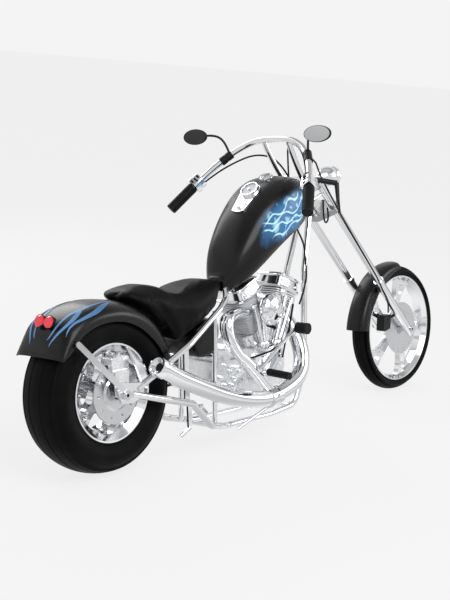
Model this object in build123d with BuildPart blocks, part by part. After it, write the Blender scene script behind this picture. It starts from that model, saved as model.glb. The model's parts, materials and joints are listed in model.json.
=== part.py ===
from build123d import *
import os
from math import cos, degrees, radians, sin, sqrt, tan

# A long-fork custom motorcycle with a rigid frame, built upright and stored leaning on its side stand.
# Millimetres. +X forward, +Y to the rider's left, +Z up; upright origin on the ground under the rear axle.

# Driving dimensions
lean = 8.0
wheelbase = 2180.0
rake = 44.1
rear_tyre_radius, rear_tyre_half, rear_crown, rear_tread_half = 339.0, 114.0, 230.0, 88.0
front_tyre_radius, front_tyre_half, front_crown, front_tread_half = 335.0, 52.0, 56.0, 34.0
rear_rim_radius, rear_rim_half = 204.0, 92.0
front_rim_radius, front_rim_half = 283.0, 42.0
fork_spacing, fork_offset = 190.0, 55.0
fork_tube_radius, slider_radius, collar_radius = 20.5, 23.0, 27.0
slider_top, lower_yoke_at, upper_yoke_at, fork_top = 400.0, 954.0, 1128.0, 1152.0
neck_radius, stem_radius = 24.0, 12.7
stay_y, stay_radius = 158.0, 14.0
rail_y, rail_z, rail_radius = 100.0, 75.0, 15.5
engine_angle = 22.5
running_gap = 0.3
axle_radius, axle_bore, rear_axle_half = 12.5, 7.0, 178.0
front_axle_radius, front_axle_bore, front_axle_half = 10.0, 6.0, 118.0
base_centre_x, base_centre_y = 1088.0, 153.67

# Reference points worked out from them
ground_normal = Vector(0, -sin(radians(lean)), cos(radians(lean)))
left = Vector(0, 1, 0)
fork_up = Vector(-sin(radians(rake)), 0, cos(radians(rake)))
fork_out = Vector(cos(radians(rake)), 0, sin(radians(rake)))
floor_drop = rear_crown * (1 - cos(radians(lean)))
front_lift = (front_crown - rear_crown) * (1 / cos(radians(lean)) - 1)
rear_axle = Vector(0, 0, rear_tyre_radius)
front_axle = Vector(wheelbase, 0, front_tyre_radius + front_lift)
leg_y = fork_spacing / 2
crank = Vector(1000, 0, 315)


def fork_point(up, across=0.0, ahead=0.0):
    """A point by its height along the fork, its sideways place and its distance ahead of the legs."""
    return front_axle + fork_up * up + fork_out * ahead + left * across


def stem_plane(up):
    """A plane square to the steering axis, centred on it, with X ahead and the normal up."""
    return Plane(origin=fork_point(up, 0, -fork_offset), x_dir=fork_out, z_dir=fork_up)


def ground_under(x, y):
    """The floor's point at one place, in the upright frame of a machine that leans."""
    return Vector(x, y, y * tan(radians(lean)) - floor_drop / cos(radians(lean)))


def other_side(points):
    """The same points on the other side of the machine."""
    return [(x, -y, z) for x, y, z in points]


def bar(points, radius, bends, mode=Mode.ADD):
    """A round bar along straight runs joined by tangent arcs."""
    with BuildLine() as route:
        FilletPolyline(*points, radius=bends)
    with BuildSketch(Plane(origin=route.line @ 0, z_dir=route.line % 0)) as section:
        Circle(radius)
    sweep(sections=section.sketch, path=route.line, mode=mode)


def rod(start, end, radius, end_radius=None, mode=Mode.ADD):
    """A straight round bar, tapered when a second radius is given."""
    start, end = Vector(*start), Vector(*end)
    axis = end - start
    with BuildSketch(Plane(origin=start, z_dir=axis)) as foot:
        Circle(radius)
    if end_radius is None:
        extrude(foot.sketch, amount=axis.length, mode=mode)
    else:
        with BuildSketch(Plane(origin=end, z_dir=axis)) as head:
            Circle(end_radius)
        loft([foot.sketch, head.sketch], mode=mode)


def turned(profile, centre, mode=Mode.ADD):
    """A body turned about the sideways line through a centre, from (radius, y) corners."""
    with BuildSketch(Plane(origin=centre, x_dir=(1, 0, 0), z_dir=(0, 0, 1))) as half:
        with BuildLine():
            Polyline(*profile, close=True)
        make_face()
    revolve(half.sketch, axis=Axis(centre, (0, 1, 0)), mode=mode)


def slab(outline, y_low, y_high, round_by=0.0, mode=Mode.ADD):
    """An upright plate from its (x, z) outline, between two sideways places."""
    with BuildSketch(Plane(origin=(0, y_high, 0), x_dir=(1, 0, 0), z_dir=(0, -1, 0))) as face:
        with BuildLine():
            Polyline(*outline, close=True)
        make_face()
        if round_by:
            fillet(face.vertices(), round_by)
    extrude(face.sketch, amount=y_high - y_low, mode=mode)


def cross_section(x, half_outline, round_by):
    """An upright section across the machine at one x, from its left half's (y, z) corners, low to high."""
    outline = half_outline + [(-y, z) for y, z in reversed(half_outline)]
    with BuildSketch(Plane(origin=(x, 0, 0), x_dir=(0, 1, 0), z_dir=(1, 0, 0))) as face:
        with BuildLine():
            Polyline(*outline, close=True)
        make_face()
        fillet(face.vertices(), round_by)
    return face.sketch


def wheel_section(centre, angle, crown_radius, waist, edge_radius, half, round_by):
    """A fender's section in the upright plane through an axle that leaves it at one angle."""
    out = Vector(cos(radians(angle)), 0, sin(radians(angle)))
    with BuildSketch(Plane(origin=centre, x_dir=(0, 1, 0), z_dir=Vector(0, 1, 0).cross(out))) as face:
        with BuildLine():
            Line((-half, edge_radius), (half, edge_radius))
            Line((half, edge_radius), (half, waist))
            ThreePointArc((half, waist), (0, crown_radius), (-half, waist))
            Line((-half, waist), (-half, edge_radius))
        make_face()
        fillet(face.vertices().sort_by(Axis.Y)[-2:], round_by)
    return face.sketch


def tyre(centre, bead, bead_half, radius, half, crown, tread_half):
    """A tyre's ring: a seat in the rim, full side walls and a crown of one radius."""
    fall = crown - sqrt(crown**2 - tread_half**2)
    wall = radius - (radius - bead) * 0.52
    with BuildSketch(Plane(origin=centre, x_dir=(1, 0, 0), z_dir=(0, 0, 1))) as section:
        with BuildLine():
            seat = (bead - 7, bead_half - 10)
            Polyline((seat[0], -seat[1]), seat, (bead + 0.5, seat[1]), (bead + 0.5, bead_half))
            ThreePointArc((bead + 0.5, bead_half), (wall, half), (radius - fall, tread_half))
            ThreePointArc((radius - fall, tread_half), (radius, 0), (radius - fall, -tread_half))
            ThreePointArc((radius - fall, -tread_half), (wall, -half), (bead + 0.5, -bead_half))
            Polyline((bead + 0.5, -bead_half), (bead + 0.5, -seat[1]), (seat[0], -seat[1]))
        make_face()
    revolve(section.sketch, axis=Axis(centre, (0, 1, 0)))


def rim(centre, bead, bead_half, well, wall, hub_radius, hub_low, hub_high, bore):
    """A deep rim's hoop with its hub."""
    inner = well - wall
    turned([(bead, bead_half), (bead, bead_half - 7), (bead - 8, bead_half - 9), (well, bead_half - 26),
            (well, 26 - bead_half), (bead - 8, 9 - bead_half), (bead, 7 - bead_half), (bead, -bead_half),
            (bead - 7, -bead_half), (inner, 22 - bead_half), (inner, bead_half - 22), (bead - 7, bead_half)],
           centre)
    turned([(bore, hub_low), (hub_radius, hub_low), (hub_radius, hub_high), (bore, hub_high)], centre)


def spokes(centre, count, root, tip, width, sweep_by, window, y_low, y_high):
    """Curved arms from the hub to the hoop, each widening around an oval window near its tip."""
    window_at, window_long, window_wide = window
    outline = ((root, 0.4), (0, 0.25), (tip, 0.75), (tip, -0.75), (0, -0.25), (root, -0.4))
    with BuildSketch(Plane(origin=centre + left * y_high, x_dir=(1, 0, 0), z_dir=(0, -1, 0))) as star:
        for arm in range(count):
            turn = 360 * arm / count
            corners = [Vector(out or (root + tip) / 2, share * width + (0 if out else sweep_by)).rotate(Axis.Z, turn)
                       for out, share in outline]
            with BuildLine():
                ThreePointArc(*corners[:3])
                Line(corners[2], corners[3])
                ThreePointArc(*corners[3:])
                Line(corners[5], corners[0])
            make_face()
        with PolarLocations(window_at, count, start_angle=degrees(sweep_by * 0.6 / window_at)):
            Ellipse(window_long, window_wide, mode=Mode.SUBTRACT)
    extrude(star.sketch, amount=y_high - y_low)


def disc_holes(centre, disc_y, rings, count, radius):
    """Rings of round holes through a brake disc."""
    with BuildSketch(Plane(origin=centre + left * (disc_y - 20), x_dir=(1, 0, 0), z_dir=(0, 1, 0))) as holes:
        for ring in rings:
            with PolarLocations(ring, count):
                Circle(radius)
    extrude(holes.sketch, amount=40, mode=Mode.SUBTRACT)


# Rear wheel
with BuildPart() as rear_tyre:
    tyre(rear_axle, rear_rim_radius, rear_rim_half, rear_tyre_radius, rear_tyre_half, rear_crown,
         rear_tread_half)

with BuildPart() as rear_rim:
    rim(rear_axle, rear_rim_radius, rear_rim_half, 176, 7, 44, -104, 119, axle_radius + running_gap)
    spokes(rear_axle, 5, 38, 172, 84, 16, (143, 18, 20), -34, 10)

rear_disc_y, disc_thick = -107.0, 6.0
with BuildPart() as rear_brake_disc:
    turned([(axle_radius + 12, rear_disc_y - 12), (62, rear_disc_y - 9), (72, rear_disc_y - 3),
            (125, rear_disc_y - 3), (125, rear_disc_y + 3), (axle_radius + 12, rear_disc_y + 3)], rear_axle)
    disc_holes(rear_axle, rear_disc_y, (98,), 10, 5)

pulley_low, pulley_high, rear_pulley_radius, engine_pulley_radius = 119.0, 139.0, 128.0, 42.0
output_shaft = Vector(690, 0, 318)
with BuildPart() as rear_pulley:
    turned([(axle_radius + 12, 124), (108, 124), (108, pulley_low), (rear_pulley_radius, pulley_low),
            (rear_pulley_radius, pulley_high), (108, pulley_high), (108, 134), (axle_radius + 12, 134)],
           rear_axle)
    with BuildSketch(Plane(origin=rear_axle + left * 140, x_dir=(1, 0, 0), z_dir=(0, -1, 0))) as windows:
        with PolarLocations(68, 6):
            Circle(21)
    extrude(windows.sketch, amount=30, mode=Mode.SUBTRACT)

# Front wheel
with BuildPart() as front_tyre:
    tyre(front_axle, front_rim_radius, front_rim_half, front_tyre_radius, front_tyre_half, front_crown,
         front_tread_half)

front_disc_y = -50.0
with BuildPart() as front_rim:
    rim(front_axle, front_rim_radius, front_rim_half, 266, 6, 30, front_disc_y + 3, 60, 10 + running_gap)
    spokes(front_axle, 5, 26, 262, 84, 18, (214, 32, 21), -14, 16)

with BuildPart() as front_brake_disc:
    turned([(95, front_disc_y - 2.5), (140, front_disc_y - 2.5), (140, front_disc_y + 2.5),
            (95, front_disc_y + 2.5)], front_axle)
    turned([(16, front_disc_y - 5), (44, front_disc_y - 5), (100, front_disc_y - 2.5), (100, front_disc_y + 2.5),
            (16, front_disc_y + 3)], front_axle)
    disc_holes(front_axle, front_disc_y, (112, 128), 14, 4)

# Frame: twin loops from the neck under the engine to the rear axle, upper stays, backbone and plates
loop_route = [(1408, -26, 1000), (1328, -52, 727), (1252, -rail_y, 250), (1175, -rail_y, 92),
              (990, -rail_y, rail_z), (670, -rail_y, rail_z + 4), (530, -142, 112), (400, -stay_y, 234),
              (40, -stay_y, 336)]
loop_bends = [200, 200, 90, 60, 90, 80, 30]
stay_route = [(70, -stay_y, 350), (390, -stay_y, 492), (640, -112, 612), (715, -80, 648), (800, -8, 736)]
stay_bends = [200, 90, 45]
backbone_route = [(1392, 0, 1045), (1120, 0, 905), (762, 0, 726)]
neck_low, neck_high = lower_yoke_at + 18, upper_yoke_at - 16
post_y = 102
plate_in, plate_out = 151.0, 165.0
with BuildPart() as frame_spine:
    bar(backbone_route, 22, 200)
    with BuildSketch(stem_plane(neck_low)) as neck:
        Circle(neck_radius)
    extrude(neck.sketch, amount=neck_high - neck_low)
    with BuildSketch(stem_plane(neck_low)) as bore:
        Circle(stem_radius + running_gap)
    extrude(bore.sketch, amount=neck_high - neck_low, mode=Mode.SUBTRACT)
with BuildPart() as frame_plates:
    for way in (-1, 1):
        slab([(-50, 376), (-22, 306), (40, 300), (96, 318), (112, 372), (60, 380), (-28, 392)],
             min(way * plate_in, way * plate_out), max(way * plate_in, way * plate_out), 8)
    rod(rear_axle - left * 200, rear_axle + left * 200, axle_radius, mode=Mode.SUBTRACT)
with BuildPart() as frame_loops:
    for side in (loop_route, other_side(loop_route)):
        bar(side, rail_radius, loop_bends)
    add(frame_spine.part, mode=Mode.SUBTRACT)
    add(frame_plates.part, mode=Mode.SUBTRACT)
with BuildPart() as frame_stays:
    for side in (stay_route, other_side(stay_route)):
        bar(side, stay_radius, stay_bends)
    add(frame_spine.part, mode=Mode.SUBTRACT)
    add(frame_plates.part, mode=Mode.SUBTRACT)
with BuildPart() as frame_posts:
    for way in (-1, 1):
        rod((618, way * post_y, 606), (600, way * post_y, 88), 12)
        slab([(360, 240), (388, 236), (388, 486), (360, 474)],
             min(way * 145, way * 153), max(way * 145, way * 153))
    slab([(361, 244), (387, 240), (384, 130), (364, 130)], -167, -157)
    rod((376, -162, 136), (330, -150, 106), 9)
    for x, z in ((640, rail_z + 5), (1150, rail_z + 14)):
        rod((x, -rail_y, z), (x, rail_y, z), 12)
    rod((612, -post_y, 400), (612, post_y, 400), 12)
    for side in (loop_route, other_side(loop_route)):
        bar(side, rail_radius + 0.3, loop_bends, mode=Mode.SUBTRACT)
    add(frame_stays.part, mode=Mode.SUBTRACT)

# The whole frame, used only to cut what is bolted to it
with BuildPart() as frame:
    for part_kept in (frame_spine, frame_plates, frame_loops, frame_stays, frame_posts):
        add(part_kept.part)

with BuildPart() as rear_axle_shaft:
    rod(rear_axle - left * rear_axle_half, rear_axle + left * rear_axle_half, axle_radius)
    for way in (-1, 1):
        rod(rear_axle + left * (way * 165), rear_axle + left * (way * 176), 21)
    turned([(axle_radius, -151), (19, -151), (19, -122), (axle_radius, -122)], rear_axle)
    turned([(axle_radius, 151), (19, 151), (19, 140), (axle_radius, 140)], rear_axle)
    rod(rear_axle - left * 200, rear_axle + left * 200, axle_bore, mode=Mode.SUBTRACT)

# Side stand: a short leg on a slanted pivot below the left rail
stand_pivot = Vector(800, 165, 104)
stand_foot = ground_under(892, 300)
stand_folded = Vector(-0.93, 0.34, 0.05)
stand_down = (stand_foot - stand_pivot).normalized()
stand_axis = stand_down.cross(stand_folded).normalized()
barrel_half = 10.0
with BuildPart() as side_stand:
    rod(stand_pivot - stand_axis * barrel_half, stand_pivot + stand_axis * barrel_half, 16)
    rod(stand_pivot, stand_foot + ground_normal * 8, 10, 8)
    rod(stand_foot, stand_foot + ground_normal * 7, 22)
    rod(stand_pivot - stand_axis * 20, stand_pivot + stand_axis * 20, 6 + running_gap, mode=Mode.SUBTRACT)

with BuildPart() as stand_bracket:
    for way in (-1, 1):
        plate = stand_pivot + stand_axis * (way * (barrel_half + 0.6))
        rod(plate, plate + stand_axis * (way * 6), 16)
        rod(plate + stand_axis * (way * 3), (790, rail_y + 8, rail_z + 6), 8)
    rod(stand_pivot - stand_axis * (barrel_half + 0.6), stand_pivot + stand_axis * (barrel_half + 0.6), 24,
        mode=Mode.SUBTRACT)
    rod(stand_pivot - stand_axis * (barrel_half + 6), stand_pivot + stand_axis * (barrel_half + 6), 6)
    add(frame.part, mode=Mode.SUBTRACT)

# Rear fender: lofted sections in planes through the axle, hollowed by a smaller loft
fender_rows = (
    # angle, crown radius, waist radius, edge radius, half width
    (12, 362, 330, 304, 118),
    (50, 372, 330, 284, 125),
    (90, 384, 334, 296, 138),
    (128, 416, 362, 328, 145),
    (150, 370, 350, 322, 142),
)
skin = 4.0
with BuildPart() as fender_body:
    loft([wheel_section(rear_axle, *row, 20) for row in fender_rows])
with BuildPart() as fender_room:
    loft([wheel_section(rear_axle, angle, crown - skin, waist - skin, edge - 40, half - skin, 17)
          for angle, crown, waist, edge, half in fender_rows])
with BuildPart() as rear_fender:
    add(fender_body.part)
    add(fender_room.part, mode=Mode.SUBTRACT)

strut_start, strut_end = Vector(-28, -176, 370), Vector(-236, -156, 574)
with BuildPart() as fender_strut:
    for way in (1, -1):
        start = Vector(strut_start.X, way * strut_start.Y, strut_start.Z)
        end = Vector(strut_end.X, way * strut_end.Y, strut_end.Z)
        run = end - start
        with BuildSketch(Plane(origin=start + run * 0.5, x_dir=run, z_dir=run.cross(left).cross(run))) as strip:
            SlotCenterToCenter(run.length, 25)
        extrude(strip.sketch, amount=3, both=True)
        rod(end, Vector(end.X, way * -136, end.Z), 8)
        rod(start, Vector(start.X, way * -(plate_out + 0.1), start.Z), 7)
    add(rear_fender.part, mode=Mode.SUBTRACT)

lamp_back = Vector(-0.94, 0, 0.34)
with BuildPart() as tail_lamp_housing:
    for way in (-1, 1):
        lamp_foot = Vector(-244, way * 27, 646)
        rod(lamp_foot, lamp_foot + lamp_back * 30, 24, 29)
    add(fender_body.part, mode=Mode.SUBTRACT)
with BuildPart() as tail_lamp_lenses:
    for way in (-1, 1):
        lamp_face = Vector(-244, way * 27.5, 646) + lamp_back * 30.5
        rod(lamp_face, lamp_face + lamp_back * 9, 26, 18)
    add(fender_body.part, mode=Mode.SUBTRACT)

# Fuel tank: sections from its tail at the seat to the neck, with a tunnel for the backbone
tank_rows = (
    # x, low z, high z, half width
    (742, 676, 742, 54),
    (790, 684, 862, 102),
    (850, 708, 958, 132),
    (930, 756, 1056, 152),
    (1020, 818, 1132, 166),
    (1120, 880, 1176, 172),
    (1220, 930, 1176, 156),
    (1320, 990, 1138, 106),
)
with BuildPart() as tank_body:
    loft([cross_section(x, [(0.45 * half, low), (0.9 * half, low + 0.22 * (high - low)),
                            (half, low + 0.5 * (high - low)), (0.91 * half, low + 0.84 * (high - low)),
                            (0.52 * half, high)], 0.28 * half)
          for x, low, high, half in tank_rows])
with BuildPart() as fuel_tank:
    add(tank_body.part)
    slab([(700, 640), (1420, 1010), (1395, 1082), (1110, 934), (705, 731)], -26, 26, mode=Mode.SUBTRACT)
    with BuildSketch(Plane(origin=fork_point(upper_yoke_at, 0, -fork_offset - 46), x_dir=fork_up,
                           z_dir=fork_out)) as front_cut:
        Rectangle(800, 600)
    extrude(front_cut.sketch, amount=200, mode=Mode.SUBTRACT)
    add(frame.part, mode=Mode.SUBTRACT)

dash_up = Vector(-0.66, 0, 0.75)
gauge_centre = Vector(1002, 0, 1108)
with BuildPart() as tank_dash:
    with BuildSketch(Plane(origin=gauge_centre - dash_up * 30, x_dir=(0.75, 0, 0.66), z_dir=dash_up)) as plate:
        with BuildLine():
            ThreePointArc((-10, 52), (46, 0), (-10, -52))
            Line((-10, -52), (-128, -34))
            ThreePointArc((-128, -34), (-136, 0), (-128, 34))
            Line((-128, 34), (-10, 52))
        make_face()
    extrude(plate.sketch, amount=42)
    rod(gauge_centre, gauge_centre + dash_up * 26, 44)
    rod(gauge_centre + dash_up * 22, gauge_centre + dash_up * 30, 38, mode=Mode.SUBTRACT)
    add(tank_body.part, mode=Mode.SUBTRACT)
cap_foot, cap_up = Vector(1112, 0, 1160), Vector(-0.28, 0, 0.96)
with BuildPart() as fuel_cap:
    rod(cap_foot, cap_foot + cap_up * 22, 36)
    rod(cap_foot + cap_up * 22, cap_foot + cap_up * 30, 30, 24)
    add(tank_body.part, mode=Mode.SUBTRACT)

# Seat: its side view cut by its plan, over the fender and between the stays
seat_half = 132
with BuildPart() as seat:
    with BuildSketch(Plane(origin=(0, seat_half + 10, 0), x_dir=(1, 0, 0), z_dir=(0, -1, 0))) as side_view:
        with BuildLine():
            ThreePointArc((92, 712), (200, 750), (330, 718))
            ThreePointArc((330, 718), (392, 698), (460, 712))
            ThreePointArc((460, 712), (580, 738), (700, 730))
            Polyline((700, 730), (736, 712), (736, 692), (712, 672), (640, 628), (505, 566), (400, 512),
                     (352, 496))
            ThreePointArc((352, 496), (255, 628), (92, 708))
            Line((92, 708), (92, 712))
        make_face()
    extrude(side_view.sketch, amount=2 * seat_half + 20)
    with BuildSketch(Plane.XY.offset(500)) as plan:
        with BuildLine():
            ThreePointArc((90, 36), (140, 98), (230, 124))
            ThreePointArc((230, 124), (330, 120), (430, 126))
            ThreePointArc((430, 126), (530, seat_half), (630, 104))
            Line((630, 104), (736, 34))
            Line((736, 34), (736, 0))
            Line((736, 0), (90, 0))
            Line((90, 0), (90, 36))
        make_face()
        mirror(about=Plane.XZ)
    extrude(plan.sketch, amount=300, mode=Mode.INTERSECT)
    with BuildSketch(Plane(origin=(60, 0, 0), x_dir=(0, 1, 0), z_dir=(1, 0, 0))) as crown:
        with BuildLine():
            ThreePointArc((-seat_half, 640), (-seat_half * 0.78, 706), (0, 756))
            ThreePointArc((0, 756), (seat_half * 0.78, 706), (seat_half, 640))
            Polyline((seat_half, 640), (seat_half, 480), (-seat_half, 480), (-seat_half, 640))
        make_face()
    extrude(crown.sketch, amount=720, mode=Mode.INTERSECT)

with BuildPart() as oil_tank:
    slab([(480, 420), (590, 412), (592, 574), (478, 540)], -92, 92, 24)

# Engine: crankcase, two finned cylinders in a vee, covers, gearbox and primary drive
case_half, barrel_foot, head_foot, cover_foot, cover_top = 82.0, 165.0, 290.0, 345.0, 415.0
with BuildPart() as crankcase:
    turned([(0, -case_half), (128, -case_half), (128, case_half), (0, case_half)], crank)
    slab([(830, 200), (1110, 180), (1120, 330), (830, 340)], -case_half, case_half, 20)
    for way in (-1, 1):
        tip = crank + Vector(way * sin(radians(engine_angle)), 0, cos(radians(engine_angle))) * barrel_foot
        rod(crank, tip, 70)


def cylinder(way):
    """One finned barrel with its head, standing on the crankcase and leaning fore or aft."""
    up = Vector(way * sin(radians(engine_angle)), 0, cos(radians(engine_angle)))
    along = Vector(cos(radians(engine_angle)), 0, -way * sin(radians(engine_angle)))
    rod(crank + up * barrel_foot, crank + up * head_foot, 62)
    for index in range(10):
        at = barrel_foot + 10 + index * 12.5
        with BuildSketch(Plane(origin=crank + up * at, x_dir=along, z_dir=up)) as fin:
            RectangleRounded(146, 150, 34)
        extrude(fin.sketch, amount=4)
    with BuildSketch(Plane(origin=crank + up * head_foot, x_dir=along, z_dir=up)) as head:
        RectangleRounded(150, 156, 24)
    extrude(head.sketch, amount=cover_foot - head_foot)


def rocker_cover(way):
    """A cover over the valve gear on one head."""
    up = Vector(way * sin(radians(engine_angle)), 0, cos(radians(engine_angle)))
    along = Vector(cos(radians(engine_angle)), 0, -way * sin(radians(engine_angle)))
    with BuildSketch(Plane(origin=crank + up * cover_foot, x_dir=along, z_dir=up)) as foot:
        RectangleRounded(168, 172, 26)
    with BuildSketch(Plane(origin=crank + up * cover_top, x_dir=along, z_dir=up)) as top:
        RectangleRounded(140, 148, 24)
    loft([foot.sketch, top.sketch])


with BuildPart() as front_half:
    cylinder(1)
    slab([(1000.5, 300), (1000.5, 900), (500, 900), (500, 300)], -200, 200, mode=Mode.SUBTRACT)
with BuildPart() as rear_half:
    cylinder(-1)
    slab([(999.5, 300), (999.5, 900), (1500, 900), (1500, 300)], -200, 200, mode=Mode.SUBTRACT)
with BuildPart() as cylinders:
    add(front_half.part)
    add(rear_half.part)
    add(crankcase.part, mode=Mode.SUBTRACT)
with BuildPart() as rocker_covers:
    for way in (-1, 1):
        rocker_cover(way)

with BuildPart() as gearbox:
    slab([(610, 240), (826, 225), (826, 392), (620, 392)], -86, 86, 26)
    add(frame.part, mode=Mode.SUBTRACT)
    add(crankcase.part, mode=Mode.SUBTRACT)
with BuildPart() as cam_cover:
    turned([(0, -case_half - 26), (70, -case_half - 26), (86, -case_half), (0, -case_half)],
           crank + Vector(10, 0, 20))
    slab([(870, 250), (960, 235), (960, 372), (900, 372)], -case_half - 18, -case_half, 18)

with BuildPart() as primary_cover:
    with BuildSketch(Plane(origin=(850, 206, 310), x_dir=(1, 0, 0), z_dir=(0, -1, 0))) as cover:
        SlotCenterToCenter(310, 200)
    extrude(cover.sketch, amount=62)
    chamfer(primary_cover.faces().sort_by(Axis.Y)[-1].edges(), 12)
    rod((1005, case_half, 312), (1005, 144, 312), 78)

with BuildPart() as engine_pulley:
    rod(output_shaft + left * 86, output_shaft + left * 144, 14)
    rod(output_shaft + left * pulley_low, output_shaft + left * pulley_high, engine_pulley_radius)
with BuildPart() as drive_belt:
    for grow, how in ((8, Mode.ADD), (0.8, Mode.SUBTRACT)):
        with BuildSketch(Plane(origin=left * pulley_high, x_dir=(1, 0, 0), z_dir=(0, -1, 0))) as loop:
            with Locations((rear_axle.X, rear_axle.Z)):
                Circle(rear_pulley_radius + grow)
            with Locations((output_shaft.X, output_shaft.Z)):
                Circle(engine_pulley_radius + grow)
            make_hull()
        extrude(loop.sketch, amount=pulley_high - pulley_low, mode=how)

with BuildPart() as pushrod_tubes:
    for foot_x, way, place in ((972, -1, 0), (948, -1, 1), (1028, 1, 0), (1052, 1, 1)):
        up = Vector(way * sin(radians(engine_angle)), 0, cos(radians(engine_angle)))
        along = Vector(cos(radians(engine_angle)), 0, -way * sin(radians(engine_angle)))
        top = crank + up * (head_foot + 10) + along * (-way * 34 + way * place * 50) + left * -92
        rod((foot_x, -96, 408), top, 10)
    add(cam_cover.part, mode=Mode.SUBTRACT)
    add(cylinders.part, mode=Mode.SUBTRACT)

with BuildPart() as carburettor:
    slab([(955, 560), (1045, 560), (1045, 640), (955, 640)], -120, -40, 14)
    rod((975, -120, 600), (900, -170, 592), 26)
    for part_cut in (cylinders, rocker_covers):
        add(part_cut.part, mode=Mode.SUBTRACT)
with BuildPart() as air_cleaner:
    turned([(0, 0), (70, 0), (70, -34), (54, -46), (0, -50)], Vector(885, -172, 590))
    add(carburettor.part, mode=Mode.SUBTRACT)

# Exhaust: two large pipes side by side, low along the right side
front_pipe_route = [(1146, -50, 520), (1176, -104, 470), (1164, -168, 372), (1110, -206, 272),
                    (1000, -216, 214), (820, -218, 196), (520, -218, 264), (260, -216, 366), (128, -216, 446)]
pipe_radius, tip_radius = 38.0, 43.0
tip_start, tip_end = Vector(*front_pipe_route[-2]), Vector(*front_pipe_route[-1])
tip_way = (tip_end - tip_start).normalized()
with BuildPart() as front_exhaust:
    bar(front_pipe_route, pipe_radius, [40, 60, 80, 110, 200, 400, 400])
    rod(tip_end - tip_way * 34, tip_end, tip_radius)
    rod(tip_end - tip_way * 120, tip_end + tip_way * 5, pipe_radius - 6, mode=Mode.SUBTRACT)
    for part_cut in (cylinders, crankcase, frame, pushrod_tubes):
        add(part_cut.part, mode=Mode.SUBTRACT)
clamp_at, clamp_way = Vector(868, -218, 199), Vector(0.99, 0, -0.1)
with BuildPart() as rear_exhaust:
    bar([(790, -70, 570), (700, -118, 560), (748, -150, 420), (858, -208, 226)], 27, [40, 80])
    rod(clamp_at - clamp_way * 34, clamp_at + clamp_way * 34, pipe_radius + 7)
    rod((838, -212, 150), (700, -152, 68), 8)
    for part_cut in (cylinders, front_exhaust, crankcase, frame, gearbox, cam_cover):
        add(part_cut.part, mode=Mode.SUBTRACT)

# Rear brake caliper, astride the disc's top edge
with BuildPart() as rear_caliper:
    slab([(-42, 412), (42, 412), (50, 492), (-50, 492)], rear_disc_y - 32, rear_disc_y + 30, 12)
    turned([(0, rear_disc_y - 8), (131, rear_disc_y - 8), (131, rear_disc_y + 8), (0, rear_disc_y + 8)],
           rear_axle, mode=Mode.SUBTRACT)
    slab([(-30, 330), (30, 330), (40, 440), (-40, 440)], -148, -135, 6)
    rod(rear_axle - left * 200, rear_axle + left * 200, 19, mode=Mode.SUBTRACT)
    add(frame.part, mode=Mode.SUBTRACT)

# Foot controls on both sides
with BuildPart() as foot_controls:
    rod((815, -100, 318), (815, -240, 318), 10)
    rod((760, -230, 334), (1030, -230, 492), 8)
    rod((1030, -226, 492), (1030, -240, 492), 14)
    rod((760, -238, 334), (800, -200, 318), 8)
    rod((815, 206, 318), (815, 240, 318), 14)
    rod((815, 232, 318), (862, 232, 318), 8)
    rod((860, 228, 318), (1060, 232, 420), 8)
    for part_cut in (gearbox, crankcase, front_exhaust, rear_exhaust):
        add(part_cut.part, mode=Mode.SUBTRACT)
with BuildPart() as foot_rubbers:
    rod((815, -240, 318), (815, -360, 312), 17)
    rod((815, 240, 318), (815, 360, 312), 17)
    rod((1030, -240, 492), (1030, -300, 492), 26)
    add(foot_controls.part, mode=Mode.SUBTRACT)

# Front end: yokes, fork, bars and lamp
with BuildPart() as lower_yoke:
    with BuildSketch(stem_plane(lower_yoke_at - 16)) as foot:
        with BuildLine():
            Polyline((-30, -40), (25, -118), (82, -118), (88, 0), (82, 118), (25, 118), (-30, 40), close=True)
        make_face()
        fillet(foot.vertices(), 14)
    extrude(foot.sketch, amount=32)
    with BuildSketch(stem_plane(lower_yoke_at)) as stem:
        Circle(stem_radius)
    extrude(stem.sketch, amount=upper_yoke_at + 20 - lower_yoke_at)
    for way in (-1, 1):
        rod(fork_point(lower_yoke_at - 60, way * leg_y), fork_point(lower_yoke_at + 60, way * leg_y),
            fork_tube_radius, mode=Mode.SUBTRACT)
with BuildPart() as upper_yoke:
    with BuildSketch(stem_plane(upper_yoke_at - 12)) as foot:
        with BuildLine():
            Polyline((-28, -40), (25, -116), (80, -116), (86, 0), (80, 116), (25, 116), (-28, 40), close=True)
        make_face()
        fillet(foot.vertices(), 14)
    extrude(foot.sketch, amount=24)
    add(lower_yoke.part, mode=Mode.SUBTRACT)
    for way in (-1, 1):
        rod(fork_point(upper_yoke_at - 60, way * leg_y), fork_point(upper_yoke_at + 60, way * leg_y),
            fork_tube_radius, mode=Mode.SUBTRACT)
with BuildPart() as fork_tubes:
    for way in (-1, 1):
        rod(fork_point(slider_top - 40, way * leg_y), fork_point(fork_top, way * leg_y), fork_tube_radius)
        rod(fork_point(fork_top, way * leg_y), fork_point(fork_top + 10, way * leg_y), 16, 12)
with BuildPart() as fork_sliders:
    for way in (-1, 1):
        rod(fork_point(-36, way * leg_y), fork_point(slider_top - 22, way * leg_y), slider_radius)
        rod(fork_point(slider_top - 22, way * leg_y), fork_point(slider_top, way * leg_y), collar_radius)
    add(fork_tubes.part, mode=Mode.SUBTRACT)
    rod(front_axle - left * 200, front_axle + left * 200, 10, mode=Mode.SUBTRACT)
with BuildPart() as front_axle_shaft:
    rod(front_axle - left * front_axle_half, front_axle + left * front_axle_half, front_axle_radius)
    for way in (-1, 1):
        rod(front_axle + left * (way * (leg_y + slider_radius + 0.5)), front_axle + left * (way * 126), 15)
    turned([(10, -67), (15, -67), (15, front_disc_y - 6), (10, front_disc_y - 6)], front_axle)
    rod(front_axle - left * 200, front_axle + left * 200, front_axle_bore, mode=Mode.SUBTRACT)

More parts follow.
